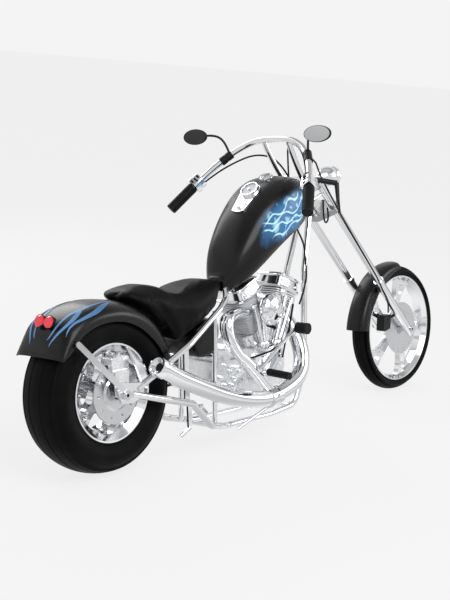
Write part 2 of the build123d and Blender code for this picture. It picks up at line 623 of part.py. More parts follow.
bar_route = [(890, -410, 1030), (1134, -233, 1289), (1178, -118, 1348), (1178, 118, 1348), (1134, 233, 1289),
             (890, 410, 1030)]
riser_route = [(1338, -62, 1118), (1316, -62, 1162), (1240, -70, 1254), (1178, -74, 1346)]
bar_radius, grip_radius = 14.0, 22.5
with BuildPart() as handlebar:
    bar(bar_route, bar_radius, [90, 70, 70, 90])
    for side in (riser_route, other_side(riser_route)):
        bar(side, 15, [40, 60])
    add(upper_yoke.part, mode=Mode.SUBTRACT)

grip_way = (Vector(*bar_route[0]) - Vector(*bar_route[1])).normalized()


def along_right_grip(back, side=1):
    """A point on the right or left grip's centre line, measured back from the bar's end."""
    point = Vector(*bar_route[0]) - grip_way * back
    return Vector(point.X, side * point.Y, point.Z)


with BuildPart() as grips:
    for way in (1, -1):
        rod(along_right_grip(-4, way), along_right_grip(150, way), grip_radius)
    add(handlebar.part, mode=Mode.SUBTRACT)
with BuildPart() as switch_housings:
    for way in (1, -1):
        rod(along_right_grip(152, way), along_right_grip(196, way), 25)
    add(handlebar.part, mode=Mode.SUBTRACT)
lever_elbow, lever_bend, lever_end = Vector(1140, -386, 1150), Vector(1125, -404, 1070), Vector(1080, -444, 1022)
with BuildPart() as brake_lever:
    rod(along_right_grip(200), along_right_grip(240), 22)
    rod(along_right_grip(220), lever_elbow, 12)
    rod(lever_elbow, lever_bend, 11, 8)
    rod(lever_bend, lever_end, 8, 6)
    add(handlebar.part, mode=Mode.SUBTRACT)

with BuildPart() as mirrors:
    for way in (-1, 1):
        rod((1134, way * 233, 1272), (1134, way * 233, 1306), 15)
        bar([(1134, way * 233, 1300), (1100, way * 250, 1352), (1070, way * 300, 1382), (1036, way * 355, 1372)],
            5, [20, 25])
        with BuildSketch(Plane(origin=(1028, way * 367, 1371), x_dir=(0, 1, 0), z_dir=(-1, 0, 0.1))) as head:
            Ellipse(68, 41)
        extrude(head.sketch, amount=9, both=True)
    add(handlebar.part, mode=Mode.SUBTRACT)

lamp_centre = Vector(1584, 0, 1166)
lamp_radius = 50.0
with BuildPart() as headlamp_shell:
    with BuildSketch(Plane(origin=lamp_centre, x_dir=(1, 0, 0), z_dir=(0, -1, 0))) as half:
        with BuildLine():
            ThreePointArc((-76, 0), (-36, lamp_radius - 12), (40, lamp_radius - 4))
            Polyline((40, lamp_radius - 4), (46, lamp_radius), (56, lamp_radius), (56, 0), (-76, 0))
        make_face()
    revolve(half.sketch, axis=Axis(lamp_centre, (1, 0, 0)))
    bar([(1574, 0, 1128), (1556, 0, 1086), (1470, 0, 1054), (1440, 0, 1076)], 9, [20, 14])
    for part_cut in (lower_yoke, upper_yoke):
        add(part_cut.part, mode=Mode.SUBTRACT)
with BuildPart() as headlamp_lens:
    rod(lamp_centre + Vector(56, 0, 0), lamp_centre + Vector(65, 0, 0), lamp_radius - 6, 32)

# Front fender, carried by the sliders
front_fender_rows = (
    # angle, crown radius, waist radius, edge radius, half width
    (92, 360, 334, 322, 60),
    (120, 364, 338, 306, 61),
    (150, 366, 340, 304, 61),
    (176, 374, 346, 322, 62),
)
with BuildPart() as front_fender:
    loft([wheel_section(front_axle, *row, 12) for row in front_fender_rows])
with BuildPart() as front_fender_room:
    loft([wheel_section(front_axle, angle, crown - 3, waist - 3, edge - 40, half - 2.5, 10)
          for angle, crown, waist, edge, half in front_fender_rows])
with BuildPart() as front_fender_shell:
    add(front_fender.part)
    add(front_fender_room.part, mode=Mode.SUBTRACT)
    add(fork_sliders.part, mode=Mode.SUBTRACT)

with BuildPart() as front_caliper:
    slab([(1980, 336), (2046, 350), (2052, 424), (1990, 424)], front_disc_y - 24, front_disc_y + 22, 12)
    turned([(0, front_disc_y - 7.5), (147, front_disc_y - 7.5), (147, front_disc_y + 7.5),
            (0, front_disc_y + 7.5)], front_axle, mode=Mode.SUBTRACT)
    rod((2020, -68, 400), (2090, -84, 424), 8)
    add(fork_sliders.part, mode=Mode.SUBTRACT)

# Control cables and hoses, held along their routes
cable_radius = 4.0
with BuildPart() as brake_hose:
    bar([(1120, -262, 1262), (1186, -236, 1240), (1300, -176, 1180), (1420, -142, 1088), (1530, -128, 980),
         (1700, -125, 800), (1850, -124, 640), (1960, -118, 500), (2010, -84, 440)], cable_radius,
        [60, 100, 120, 200, 400, 400, 200])
    for part_cut in (handlebar, upper_yoke, lower_yoke, brake_lever, front_caliper, fork_sliders):
        add(part_cut.part, mode=Mode.SUBTRACT)
with BuildPart() as engine_hose:
    bar([(1151, -120, 580), (1112, -124, 462), (1070, -128, 408), (959, -130, 380), (777, -122, 361)], 5,
        [120, 90, 300])
    rod((1088, -126, 430), (1068, -118, 336), 4)
    for part_cut in (rear_exhaust, front_exhaust, cylinders, cam_cover, pushrod_tubes, gearbox, foot_controls):
        add(part_cut.part, mode=Mode.SUBTRACT)

pieces = {
    "rear_tyre": rear_tyre,
    "rear_rim": rear_rim,
    "rear_brake_disc": rear_brake_disc,
    "rear_pulley": rear_pulley,
    "front_tyre": front_tyre,
    "front_rim": front_rim,
    "front_brake_disc": front_brake_disc,
    "frame_spine": frame_spine,
    "frame_loops": frame_loops,
    "frame_stays": frame_stays,
    "frame_posts": frame_posts,
    "frame_plates": frame_plates,
    "rear_axle": rear_axle_shaft,
    "side_stand": side_stand,
    "stand_bracket": stand_bracket,
    "rear_fender": rear_fender,
    "fender_strut": fender_strut,
    "tail_lamp_housing": tail_lamp_housing,
    "tail_lamp_lenses": tail_lamp_lenses,
    "fuel_tank": fuel_tank,
    "tank_dash": tank_dash,
    "fuel_cap": fuel_cap,
    "seat": seat,
    "oil_tank": oil_tank,
    "crankcase": crankcase,
    "cylinders": cylinders,
    "rocker_covers": rocker_covers,
    "gearbox": gearbox,
    "cam_cover": cam_cover,
    "primary_cover": primary_cover,
    "engine_pulley": engine_pulley,
    "drive_belt": drive_belt,
    "pushrod_tubes": pushrod_tubes,
    "carburettor": carburettor,
    "air_cleaner": air_cleaner,
    "front_exhaust": front_exhaust,
    "rear_exhaust": rear_exhaust,
    "rear_caliper": rear_caliper,
    "foot_controls": foot_controls,
    "foot_rubbers": foot_rubbers,
    "lower_yoke": lower_yoke,
    "upper_yoke": upper_yoke,
    "fork_tubes": fork_tubes,
    "fork_sliders": fork_sliders,
    "front_axle": front_axle_shaft,
    "handlebar": handlebar,
    "grips": grips,
    "switch_housings": switch_housings,
    "brake_lever": brake_lever,
    "mirrors": mirrors,
    "headlamp_shell": headlamp_shell,
    "headlamp_lens": headlamp_lens,
    "front_fender": front_fender_shell,
    "front_caliper": front_caliper,
    "brake_hose": brake_hose,
    "engine_hose": engine_hose,
}

# Lean every piece onto the side stand, on the floor, with the origin at the middle of its base
onto_stand = Location((-base_centre_x, -base_centre_y, floor_drop)) * Location((0, 0, 0), (-lean, 0, 0))
os.makedirs("parts", exist_ok=True)
for name, piece in pieces.items():
    parked = piece.part.moved(onto_stand)
    parked.label = name
    export_step(parked, f"parts/{name}.step")
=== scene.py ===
"""Dresses a long-fork custom motorcycle, parked on its side stand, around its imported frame."""
import json
from math import cos, degrees, pi, radians, sin, sqrt

import bmesh
import bpy
from mathutils import Matrix, Vector


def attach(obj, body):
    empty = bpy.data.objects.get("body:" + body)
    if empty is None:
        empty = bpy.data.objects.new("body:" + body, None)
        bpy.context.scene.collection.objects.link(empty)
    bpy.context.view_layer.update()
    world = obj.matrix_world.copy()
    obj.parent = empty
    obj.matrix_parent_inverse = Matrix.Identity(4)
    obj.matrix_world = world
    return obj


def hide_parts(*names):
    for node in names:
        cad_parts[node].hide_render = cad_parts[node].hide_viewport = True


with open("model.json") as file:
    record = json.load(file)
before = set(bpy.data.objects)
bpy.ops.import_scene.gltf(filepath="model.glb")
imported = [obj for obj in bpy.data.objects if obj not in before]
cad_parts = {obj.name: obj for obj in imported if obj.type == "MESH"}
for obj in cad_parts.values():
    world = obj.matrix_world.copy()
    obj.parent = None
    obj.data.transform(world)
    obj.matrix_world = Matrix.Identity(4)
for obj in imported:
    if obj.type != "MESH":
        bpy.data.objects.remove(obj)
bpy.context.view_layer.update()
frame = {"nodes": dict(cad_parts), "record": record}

bl_info = {
    "name": "Long-fork motorcycle",
    "version": (1, 0, 0),
    "blender": (4, 5, 0),
    "location": "View3D > Sidebar > Motorcycle",
    "description": "Builds the looks of a long-fork motorcycle around its packed frame",
    "category": "Object",
}

# Sizes are in metres. The machine is drawn upright, with its origin on the ground under the rear axle, and
# leans onto its stand. A tyre's crown is the radius of its rounded tread.
LEAN = radians(8.0)
WHEELBASE = 2.180
REAR_RADIUS, REAR_CROWN = 0.339, 0.230
FRONT_RADIUS, FRONT_CROWN = 0.335, 0.056
BASE_CENTRE = Vector((1.088, 0.15367, 0.0))
FLOOR_DROP = REAR_CROWN * (1 - cos(LEAN))
PARKED = Matrix.Translation(Vector((0, 0, FLOOR_DROP)) - BASE_CENTRE) @ Matrix.Rotation(-LEAN, 4, "X")
REAR_AXLE = Vector((0, 0, REAR_RADIUS))
FRONT_AXLE = Vector((WHEELBASE, 0, FRONT_RADIUS - (REAR_CROWN - FRONT_CROWN) * (1 / cos(LEAN) - 1)))
LEFT = Vector((0, 1, 0))
WHITE = (1, 1, 1, 1)


class Value:
    """A socket of a material's tree, on which Python arithmetic adds Math nodes."""

    def __init__(self, shader, socket):
        self.shader = shader
        self.socket = socket

    def math(self, operation, *values):
        return self.shader.node("ShaderNodeMath", {"operation": operation}, dict(enumerate(values)))

    def __add__(self, other):
        return self.math("ADD", self, other)

    def __sub__(self, other):
        return self.math("SUBTRACT", self, other)

    def __mul__(self, other):
        return self.math("MULTIPLY", self, other)

    def __truediv__(self, other):
        return self.math("DIVIDE", self, other)

    def __pow__(self, other):
        return self.math("POWER", self, other)

    def __abs__(self):
        return self.math("ABSOLUTE", self)

    def least(self, other):
        return self.math("MINIMUM", self, other)

    def wave(self):
        return self.math("SINE", self)

    def ramp(self, low, high, to_low=0.0, to_high=1.0):
        """This value carried smoothly from low..high to to_low..to_high and held there outside."""
        return self.shader.node("ShaderNodeMapRange", {"interpolation_type": "SMOOTHSTEP"},
                                {"Value": self, "From Min": low, "From Max": high,
                                 "To Min": to_low, "To Max": to_high})


class Shader:
    """The nodes of a material or a world, made one by one."""

    def __init__(self, name, kind="materials"):
        self.owner = getattr(bpy.data, kind).new(name)
        self.owner.use_nodes = True
        self.tree = self.owner.node_tree
        self.tree.nodes.clear()

    def node(self, kind, settings=None, sockets=None, out=0):
        """Adds one node: its settings first, then the values or links of its sockets."""
        made = self.tree.nodes.new(kind)
        for name, value in (settings or {}).items():
            if name == "stops":
                for index, (place, colour) in enumerate(value):
                    elements = made.color_ramp.elements
                    stop = elements[index] if index < 2 else elements.new(place)
                    stop.position = place
                    stop.color = colour
            else:
                setattr(made, name, value)
        for name, value in (sockets or {}).items():
            if isinstance(value, Value):
                self.tree.links.new(value.socket, made.inputs[name])
            else:
                made.inputs[name].default_value = value
        return Value(self, made.outputs[out])

    def place(self):
        """Where a point is in the drawing frame of its piece."""
        return self.node("ShaderNodeTexCoord", out="Object")

    def axes(self):
        """The three coordinates of that place."""
        split = self.node("ShaderNodeSeparateXYZ", {}, {"Vector": self.place()}).socket.node
        return [Value(self, socket) for socket in split.outputs]

    def ray(self, kind):
        """Whether the ray that arrives is of a kind, Camera or Glossy."""
        return self.node("ShaderNodeLightPath", out=f"Is {kind} Ray")

    def noise(self, scale, detail=2.0, rough=0.5):
        sockets = {"Vector": self.place(), "Scale": scale, "Detail": detail, "Roughness": rough}
        return self.node("ShaderNodeTexNoise", {}, sockets)

    def mix(self, share, first, second):
        """Two colours mixed by a share from 0 to 1."""
        sockets = {"Factor": share, 6: first, 7: second}
        return self.node("ShaderNodeMix", {"data_type": "RGBA"}, sockets, out=2)

    def mix_surfaces(self, share, first, second):
        """Two surfaces mixed by a share from 0 to 1."""
        return self.node("ShaderNodeMixShader", {}, {0: share, 1: first, 2: second})

    def shine(self, kind, strength, colour=WHITE):
        """Light of its own: the Emission of a surface or the Background of a world."""
        return self.node("ShaderNode" + kind, {}, {"Color": colour, "Strength": strength})

    def bump(self, height, strength, distance):
        return self.node("ShaderNodeBump", {}, {"Height": height, "Strength": strength, "Distance": distance})

    def finish(self, **sockets):
        """Ends a material in one surface with these sockets."""
        names = {name.replace("_", " ").title().replace("Ior", "IOR"): value
                 for name, value in sockets.items()}
        return self.end_in(self.node("ShaderNodeBsdfPrincipled", {}, names))

    def end_in(self, surface, output="ShaderNodeOutputMaterial"):
        """Links the last surface to the output, and gives back what the nodes belong to."""
        self.tree.links.new(surface.socket, self.tree.nodes.new(output).inputs["Surface"])
        return self.owner


class FinishSettings(bpy.types.PropertyGroup):
    """Colours and gloss of the machine's finishes."""

    paint: bpy.props.FloatVectorProperty(
        name="Paint", description="Colour of the tank and fenders", subtype="COLOR", size=4,
        default=(0.0022, 0.0022, 0.0026, 1.0))
    flame: bpy.props.FloatVectorProperty(
        name="Flame", description="Main colour of the painted flames", subtype="COLOR", size=4,
        default=(0.040, 0.130, 0.270, 1.0))
    haze: bpy.props.FloatVectorProperty(
        name="Haze", description="Soft blue cloud in the tank's paint", subtype="COLOR", size=4,
        default=(0.045, 0.19, 0.42, 1.0))
    lick: bpy.props.FloatVectorProperty(
        name="Lick", description="Bright licks in the tank's paint", subtype="COLOR", size=4,
        default=(0.50, 0.80, 0.95, 1.0))
    chrome: bpy.props.FloatVectorProperty(
        name="Chrome", description="Tint of the chromed pieces", subtype="COLOR", size=4,
        default=(0.83, 0.84, 0.86, 1.0))
    chrome_rough: bpy.props.FloatProperty(
        name="Chrome roughness", description="How blurred the chrome's reflections are", default=0.07,
        min=0.0, max=1.0)


def settings():
    return bpy.context.scene.motorcycle_finish


def chrome(name="chrome", tint_and_painted_shade=1.0, rough=None):
    """Bright plated metal with faint clouding."""
    shader = Shader(name)
    cloud = shader.noise(18.0, 3.0)
    # The chrome's colour is scaled down where painted shade is asked for, as on the left mirror's glass
    base = [channel * tint_and_painted_shade for channel in settings().chrome[:3]] + [1.0]
    low = settings().chrome_rough if rough is None else rough
    return shader.finish(base_color=base, metallic=1.0, roughness=cloud.ramp(0.35, 0.7, low, low + 0.06))


def cast_alloy():
    """Fine-grained cast metal whose tone and polish vary in patches."""
    shader = Shader("cast_alloy")
    grain = shader.noise(420.0, 3.0)
    cloud = shader.noise(30.0, 2.0)
    return shader.finish(
        base_color=shader.mix(cloud.ramp(0.3, 0.7), (0.74, 0.75, 0.77, 1), (0.86, 0.87, 0.88, 1)),
        metallic=0.8, roughness=cloud.ramp(0.3, 0.75, 0.16, 0.30), normal=shader.bump(grain, 0.08, 0.0006))


def brushed_steel():
    """Turned steel with fine rings of tool marks."""
    shader = Shader("brushed_steel")
    marks = shader.noise(900.0, 1.0)
    cloud = shader.noise(14.0, 2.0)
    return shader.finish(base_color=(0.66, 0.67, 0.69, 1), metallic=1.0,
                         roughness=cloud.ramp(0.3, 0.7, 0.18, 0.30), normal=shader.bump(marks, 0.05, 0.0004))


def fin_metal():
    """Pale turned metal of the cooling fins."""
    shader = Shader("fin_metal")
    grain = shader.noise(300.0)
    return shader.finish(base_color=(0.80, 0.81, 0.83, 1), metallic=0.45,
                         roughness=grain.ramp(0.3, 0.7, 0.26, 0.36))


def dull_steel():
    """Grey bead-blasted metal."""
    shader = Shader("dull_steel")
    grain = shader.noise(500.0)
    return shader.finish(base_color=(0.36, 0.37, 0.38, 1), metallic=0.9,
                         roughness=grain.ramp(0.3, 0.7, 0.36, 0.48))


def lacquered(shader, colour, roughness, peel):
    """Ends a paint in its thin clear coat, with a trace of orange peel."""
    return shader.finish(base_color=colour, roughness=roughness, coat_weight=0.03, coat_roughness=0.05,
                         specular_ior_level=0.30, normal=shader.bump(peel, 0.02, 0.0005))


def gloss_paint():
    """Deep black paint under clear lacquer."""
    shader = Shader("black_paint")
    peel = shader.noise(160.0)
    return lacquered(shader, tuple(settings().paint), peel.ramp(0.3, 0.7, 0.26, 0.32), peel)


# Middle of the haze in the tank's paint, and its reach fore and aft and up and down
HAZE_X, HAZE_Z = 1.070, 1.000
HAZE_LONG, HAZE_TALL = 0.170, 0.095
TANK_LICKS = (
    # height over the haze's middle, slope, swing, radians of wave in a metre, the wave's start
    (0.060, 0.60, 0.012, 60.0, 0.0),
    (0.022, 0.40, 0.014, 48.0, 1.9),
    (-0.018, 0.35, 0.011, 66.0, 3.6),
    (-0.052, 0.52, 0.010, 54.0, 5.0),
)


def tank_paint():
    """The black paint with licks of cold light that glow through a soft blue haze on both sides."""
    shader = Shader("tank_paint")
    x, y, z = shader.axes()
    settled = settings()
    drift = shader.noise(9.0, 3.0, 0.6)
    away_x = (x - HAZE_X) / HAZE_LONG
    away_z = (z - HAZE_Z - (x - HAZE_X) * 0.42) / HAZE_TALL
    far = away_x * away_x + away_z * away_z + (drift - 0.5) * 1.7
    haze = far.ramp(1.45, 0.25) * abs(y).ramp(0.060, 0.105)
    glow = shader.noise(30.0).ramp(0.54, 0.68) * 0.6
    for height, slope, swing, pitch, start in TANK_LICKS:
        wave = (x * pitch + start).wave()
        line = z - HAZE_Z - (x - HAZE_X) * slope - height - wave * swing - (drift - 0.5) * 0.05
        glow = abs(line).ramp(0.0075, 0.0005) + glow
    licks = (glow * haze.ramp(0.25, 0.8)).least(1.0)
    blue = shader.mix(haze * 0.85, tuple(settled.paint), tuple(settled.haze))
    return lacquered(shader, shader.mix(licks, blue, tuple(settled.lick)), 0.26, shader.noise(160.0))


def satin_black():
    """Black powder coat on small metal pieces."""
    shader = Shader("satin_black_metal")
    grain = shader.noise(600.0, 2.0)
    return shader.finish(base_color=(0.005, 0.005, 0.0055, 1), roughness=grain.ramp(0.3, 0.7, 0.32, 0.46),
                         specular_ior_level=0.25, normal=shader.bump(grain, 0.10, 0.0006))


def black_rubber():
    """Moulded rubber of grips, pads, hoses and belt."""
    shader = Shader("black_rubber")
    grain = shader.noise(300.0, 3.0)
    return shader.finish(
        base_color=shader.mix(grain, (0.004, 0.004, 0.0045, 1), (0.010, 0.010, 0.0105, 1)),
        roughness=grain.ramp(0.3, 0.7, 0.42, 0.58), specular_ior_level=0.15,
        normal=shader.bump(grain, 0.15, 0.0008))


def tyre_rubber():
    """Tyre rubber, a little dusty in patches."""
    shader = Shader("tyre_rubber")
    grain = shader.noise(240.0, 3.0)
    dust = shader.noise(9.0, 3.0)
    dusty = shader.mix(dust.ramp(0.35, 0.75), (0.0016, 0.0016, 0.0017, 1), (0.004, 0.004, 0.0042, 1))
    return shader.finish(base_color=dusty, roughness=grain.ramp(0.3, 0.7, 0.46, 0.60),
                         specular_ior_level=0.07, normal=shader.bump(grain, 0.10, 0.0006))


def leather():
    """Smooth black leather with fine pebbling and worn patches."""
    shader = Shader("black_leather")
    cells = shader.node("ShaderNodeTexVoronoi", {"feature": "DISTANCE_TO_EDGE"},
                        {"Vector": shader.place(), "Scale": 420.0})
    wear = shader.noise(11.0, 3.0)
    worn = shader.mix(wear.ramp(0.4, 0.75), (0.0016, 0.0016, 0.0018, 1), (0.0035, 0.0035, 0.0038, 1))
    return shader.finish(base_color=worn, roughness=wear.ramp(0.3, 0.7, 0.32, 0.42),
                         specular_ior_level=0.09, normal=shader.bump(cells.ramp(0.0, 0.12), 0.22, 0.0008))


def red_lens():
    """Ribbed red lamp plastic with a faint painted glow of its own, standing in for a bright inside."""
    shader = Shader("red_lens")
    height = shader.axes()[2]
    return shader.finish(base_color=(0.62, 0.012, 0.03, 1), roughness=0.12, coat_weight=1.0,
                         # The emission is painted light: a faint red glow standing in for the lamp's bright
                         # inside
                         emission_color=(0.5, 0.0, 0.02, 1), emission_strength=0.25,
                         normal=shader.bump((height * 900.0).wave(), 0.2, 0.001))


def lamp_glass():
    """Fluted clear glass of the headlamp."""
    shader = Shader("lamp_glass")
    across = shader.axes()[1]
    return shader.finish(base_color=(0.80, 0.84, 0.88, 1), roughness=0.05, metallic=0.6, coat_weight=1.0,
                         normal=shader.bump((across * 700.0).wave(), 0.25, 0.001))


FINISH_OF = {
    "tyre": tyre_rubber, "chrome": chrome, "alloy": cast_alloy, "steel": brushed_steel,
    "black_paint": gloss_paint, "black_metal": satin_black, "leather": leather, "rubber": black_rubber,
    "red_lens": red_lens, "lamp_glass": lamp_glass,
}
finishes = {}


def finish(slot):
    """The material of one slot, made once."""
    if slot not in finishes:
        finishes[slot] = FINISH_OF[slot]()
    return finishes[slot]


def between(table, at):
    """The other columns of a table at one value of its first, on a smooth curve through its rows."""
    last = len(table) - 1
    at = min(max(at, table[0][0]), table[last][0])
    spot = max(index for index in range(last) if table[index][0] <= at)
    low, high = table[spot], table[spot + 1]
    before, after = table[max(spot - 1, 0)], table[min(spot + 2, last)]
    span = high[0] - low[0]
    share = (at - low[0]) / span
    found = []
    for column in range(1, len(low)):
        leave = (high[column] - before[column]) / (high[0] - before[0]) * span
        arrive = (after[column] - low[column]) / (after[0] - low[0]) * span
        found.append((2 * share**3 - 3 * share**2 + 1) * low[column]
                     + (share**3 - 2 * share**2 + share) * leave
                     + (3 * share**2 - 2 * share**3) * high[column] + (share**3 - share**2) * arrive)
    return found


def rounded(corners, steps=6, closed=False):
    """A smooth line that touches the middle of each run between these corners."""
    corners = [Vector(corner) for corner in corners]
    count = len(corners)
    line = [] if closed else [corners[0]]
    for index in range(count) if closed else range(1, count - 1):
        corner = corners[index]
        start = (corners[index - 1] + corner) / 2
        end = (corner + corners[(index + 1) % count]) / 2
        for step in range(steps):
            share = step / steps
            line.append(start * (1 - share)**2 + corner * (2 * share * (1 - share)) + end * share**2)
    if not closed:
        line += [(corners[-2] + corners[-1]) / 2, corners[-1]]
    return line


def spaced(count, low, high):
    """Evenly spaced values from low to high."""
    return [low + (high - low) * index / (count - 1) for index in range(count)]


def rings(profile, centre, way, count):
    """Rows of points turned about an axis from a profile of (radius, distance along the axis)."""
    way = Vector(way).normalized()
    first = way.orthogonal().normalized()
    second = way.cross(first)
    centre = Vector(centre)
    turns = [2 * pi * index / count for index in range(count)]
    return [[centre + way * along + (first * cos(turn) + second * sin(turn)) * radius for turn in turns]
            for radius, along in profile]


def skin(shape, rows, around=False, ends=False):
    """Adds faces between rows of points to a mesh, closed around and at its ends where asked."""
    made = [[shape.verts.new(point) for point in row] for row in rows]
    width = len(rows[0])
    for first, second in zip(made, made[1:]):
        for index in range(width if around else width - 1):
            after = (index + 1) % width
            shape.faces.new((first[index], first[after], second[after], second[index]))
    if ends:
        shape.faces.new(list(reversed(made[0])))
        shape.faces.new(made[-1])


def place_piece(name, data, body, slot, material, stands_for=()):
    """Sets a finished mesh or curve in its place on the parked machine, riding on a body."""
    piece = bpy.data.objects.new(name, data)
    bpy.context.scene.collection.objects.link(piece)
    piece.matrix_world = PARKED
    data.materials.append(material or finish(slot))
    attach(piece, body)
    if stands_for:
        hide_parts(*stands_for)
    return piece


def mesh_piece(name, shape, body, slot, material=None, stands_for=(), sharp=0.5):
    """Turns a built shape into a piece with outward faces and smooth shading."""
    bmesh.ops.recalc_face_normals(shape, faces=shape.faces)
    data = bpy.data.meshes.new(name)
    shape.to_mesh(data)
    shape.free()
    data.shade_smooth()
    if sharp:
        data.set_sharp_from_angle(angle=sharp)
    return place_piece(name, data, body, slot, material, stands_for)


# A curve's box grows by the radius of its points, so the points are small and the bevel is scaled up
POINT_RADIUS = 0.005


def tube_piece(name, routes, radius, body, slot, material=None, stands_for=()):
    """Round bars or cables along smooth lines."""
    data = bpy.data.curves.new(name, "CURVE")
    data.dimensions = "3D"
    data.bevel_depth = radius / POINT_RADIUS
    data.bevel_resolution = 4
    data.resolution_u = 8
    data.use_fill_caps = True
    for route in routes:
        spline = data.splines.new("NURBS")
        spline.points.add(len(route) - 1)
        for point, place in zip(spline.points, route):
            point.co = (*place, 1.0)
            point.radius = POINT_RADIUS
        spline.order_u = 3
        spline.use_endpoint_u = True
    return place_piece(name, data, body, slot, material, stands_for)


def modify(piece, kind, **settings):
    """Adds one modifier with these settings."""
    modifier = piece.modifiers.new(kind.lower(), kind)
    for name, value in settings.items():
        setattr(modifier, name, value)
    return modifier


REAR_FENDER = (
    # angle about the axle, crown radius, waist radius, edge radius, half width
    (12, 0.362, 0.330, 0.304, 0.118),
    (50, 0.372, 0.330, 0.284, 0.125),
    (90, 0.376, 0.334, 0.296, 0.136),
    (128, 0.398, 0.362, 0.326, 0.143),
    (142, 0.380, 0.354, 0.327, 0.141),
    (150, 0.368, 0.350, 0.345, 0.140),
)
FRONT_FENDER = (
    # angle about the axle, crown radius, waist radius, edge radius, half width
    (92, 0.360, 0.334, 0.322, 0.060),
    (120, 0.364, 0.338, 0.306, 0.061),
    (150, 0.366, 0.340, 0.304, 0.061),
    (176, 0.374, 0.346, 0.322, 0.062),
)


def fender_row(centre, table, angle):
    """One row across a fender at an angle about the axle."""
    crown, waist, edge, half = between(table, angle)
    out = Vector((cos(radians(angle)), 0, sin(radians(angle))))
    flat, shoulder = half * 0.62, waist + 0.004
    drawn = ((-half, edge), (-half, shoulder), (-flat, crown), (flat, crown), (half, shoulder), (half, edge))
    return [centre + out * spot.y + LEFT * spot.x for spot in rounded(drawn, 8)]


def fender_rows(centre, table, count):
    """Rows across a fender, from edge to edge over its crown."""
    return [fender_row(centre, table, angle) for angle in spaced(count, table[0][0], table[-1][0])]


def fender(name, centre, table, thickness, body, stands_for):
    """A pressed fender with one smooth skin and a rolled edge."""
    shape = bmesh.new()
    skin(shape, fender_rows(centre, table, 45))
    piece = mesh_piece(name, shape, body, "black_paint", stands_for=[stands_for], sharp=0)
    modify(piece, "SOLIDIFY", thickness=thickness, offset=-1.0, use_quality_normals=True)
    modify(piece, "BEVEL", width=0.0012, segments=2, limit_method="ANGLE")
    return piece


class MOTORCYCLE_OT_fenders(bpy.types.Operator):
    """Makes the skins of the rear and front fenders"""

    bl_idname = "motorcycle.fenders"
    bl_label = "Fenders"

    def execute(self, context):
        fender("rear_fender_skin", REAR_AXLE, REAR_FENDER, 0.004, "chassis", "rear_fender")
        fender("front_fender_skin", FRONT_AXLE, FRONT_FENDER, 0.003, "front_end", "front_fender")
        return {"FINISHED"}


TANK = (
    # x, lowest z, highest z, half width
    (0.742, 0.676, 0.742, 0.054),
    (0.790, 0.684, 0.862, 0.102),
    (0.850, 0.708, 0.958, 0.132),
    (0.930, 0.756, 1.056, 0.152),
    (1.020, 0.818, 1.132, 0.166),
    (1.120, 0.880, 1.176, 0.172),
    (1.220, 0.930, 1.176, 0.156),
    (1.320, 0.990, 1.138, 0.106),
)
# A point on the backbone's centre line, its slope, and the room that the tank's tunnel leaves over it
SPINE_X, SPINE_Z = 0.762, 0.726
SPINE_SLOPE, SPINE_ROOM = 0.5, 0.036


def tank_row(x):
    """One closed row around the tank, with its tunnel over the backbone."""
    low, high, half = between(TANK, x)
    height = high - low
    over_spine = SPINE_Z + (x - SPINE_X) * SPINE_SLOPE + SPINE_ROOM
    tunnel = min(low + 0.45 * height, max(low + 0.012, over_spine))
    side = [(0.030, tunnel), (0.034, low + 0.004), (0.50 * half, low - 0.004),
            (0.95 * half, low + 0.14 * height), (half, low + 0.5 * height),
            (0.91 * half, low + 0.84 * height), (0.52 * half, high)]
    drawn = side + [(-y, z) for y, z in reversed(side)]
    return [Vector((x, spot.x, spot.y)) for spot in rounded(drawn, 5, closed=True)]


def drawn_in(row, share, step):
    """A row shrunk about its middle and moved, to close a skin with a soft edge."""
    middle = sum(row, Vector()) / len(row)
    return [middle + (point - middle) * share + step for point in row]


class MOTORCYCLE_OT_tank(bpy.types.Operator):
    """Makes the fuel tank's skin, with its tunnel over the backbone"""

    bl_idname = "motorcycle.tank"
    bl_label = "Fuel tank"

    def execute(self, context):
        rows = [tank_row(x) for x in spaced(61, TANK[0][0], TANK[-1][0])]
        step = Vector((0.004, 0, 0))
        rows = ([drawn_in(rows[0], 0.82, -2 * step), drawn_in(rows[0], 0.94, -step)] + rows
                + [drawn_in(rows[-1], 0.94, step), drawn_in(rows[-1], 0.82, 2 * step)])
        shape = bmesh.new()
        skin(shape, rows, around=True, ends=True)
        mesh_piece("fuel_tank_skin", shape, "chassis", "black_paint", tank_paint(), ["fuel_tank"], sharp=1.0)
        return {"FINISHED"}


class MOTORCYCLE_OT_seat(bpy.types.Operator):
    """Makes the padded seat: its leather is blown up over a smoothed block"""

    bl_idname = "motorcycle.seat"
    bl_label = "Seat"

    def execute(self, context):
        data = frame["nodes"]["seat"].data.copy()
        data.transform(PARKED.inverted())
        data.materials.clear()
        piece = place_piece("seat_cushion", data, "chassis", "leather", None, ["seat"])
        modify(piece, "REMESH", mode="VOXEL", voxel_size=0.006)
        modify(piece, "SMOOTH", factor=0.8, iterations=14)
        apply_modifiers(piece)
        inflate(piece, pressure=2.5, cap=0.008)
        modify(piece, "SUBSURF", levels=1, render_levels=1)
        return {"FINISHED"}


def apply_modifiers(piece):
    """Puts what a piece's modifiers make into its own mesh."""
    shown = bpy.context.evaluated_depsgraph_get()
    data = bpy.data.meshes.new_from_object(piece.evaluated_get(shown))
    piece.modifiers.clear()
    piece.data = data
    data.shade_smooth()


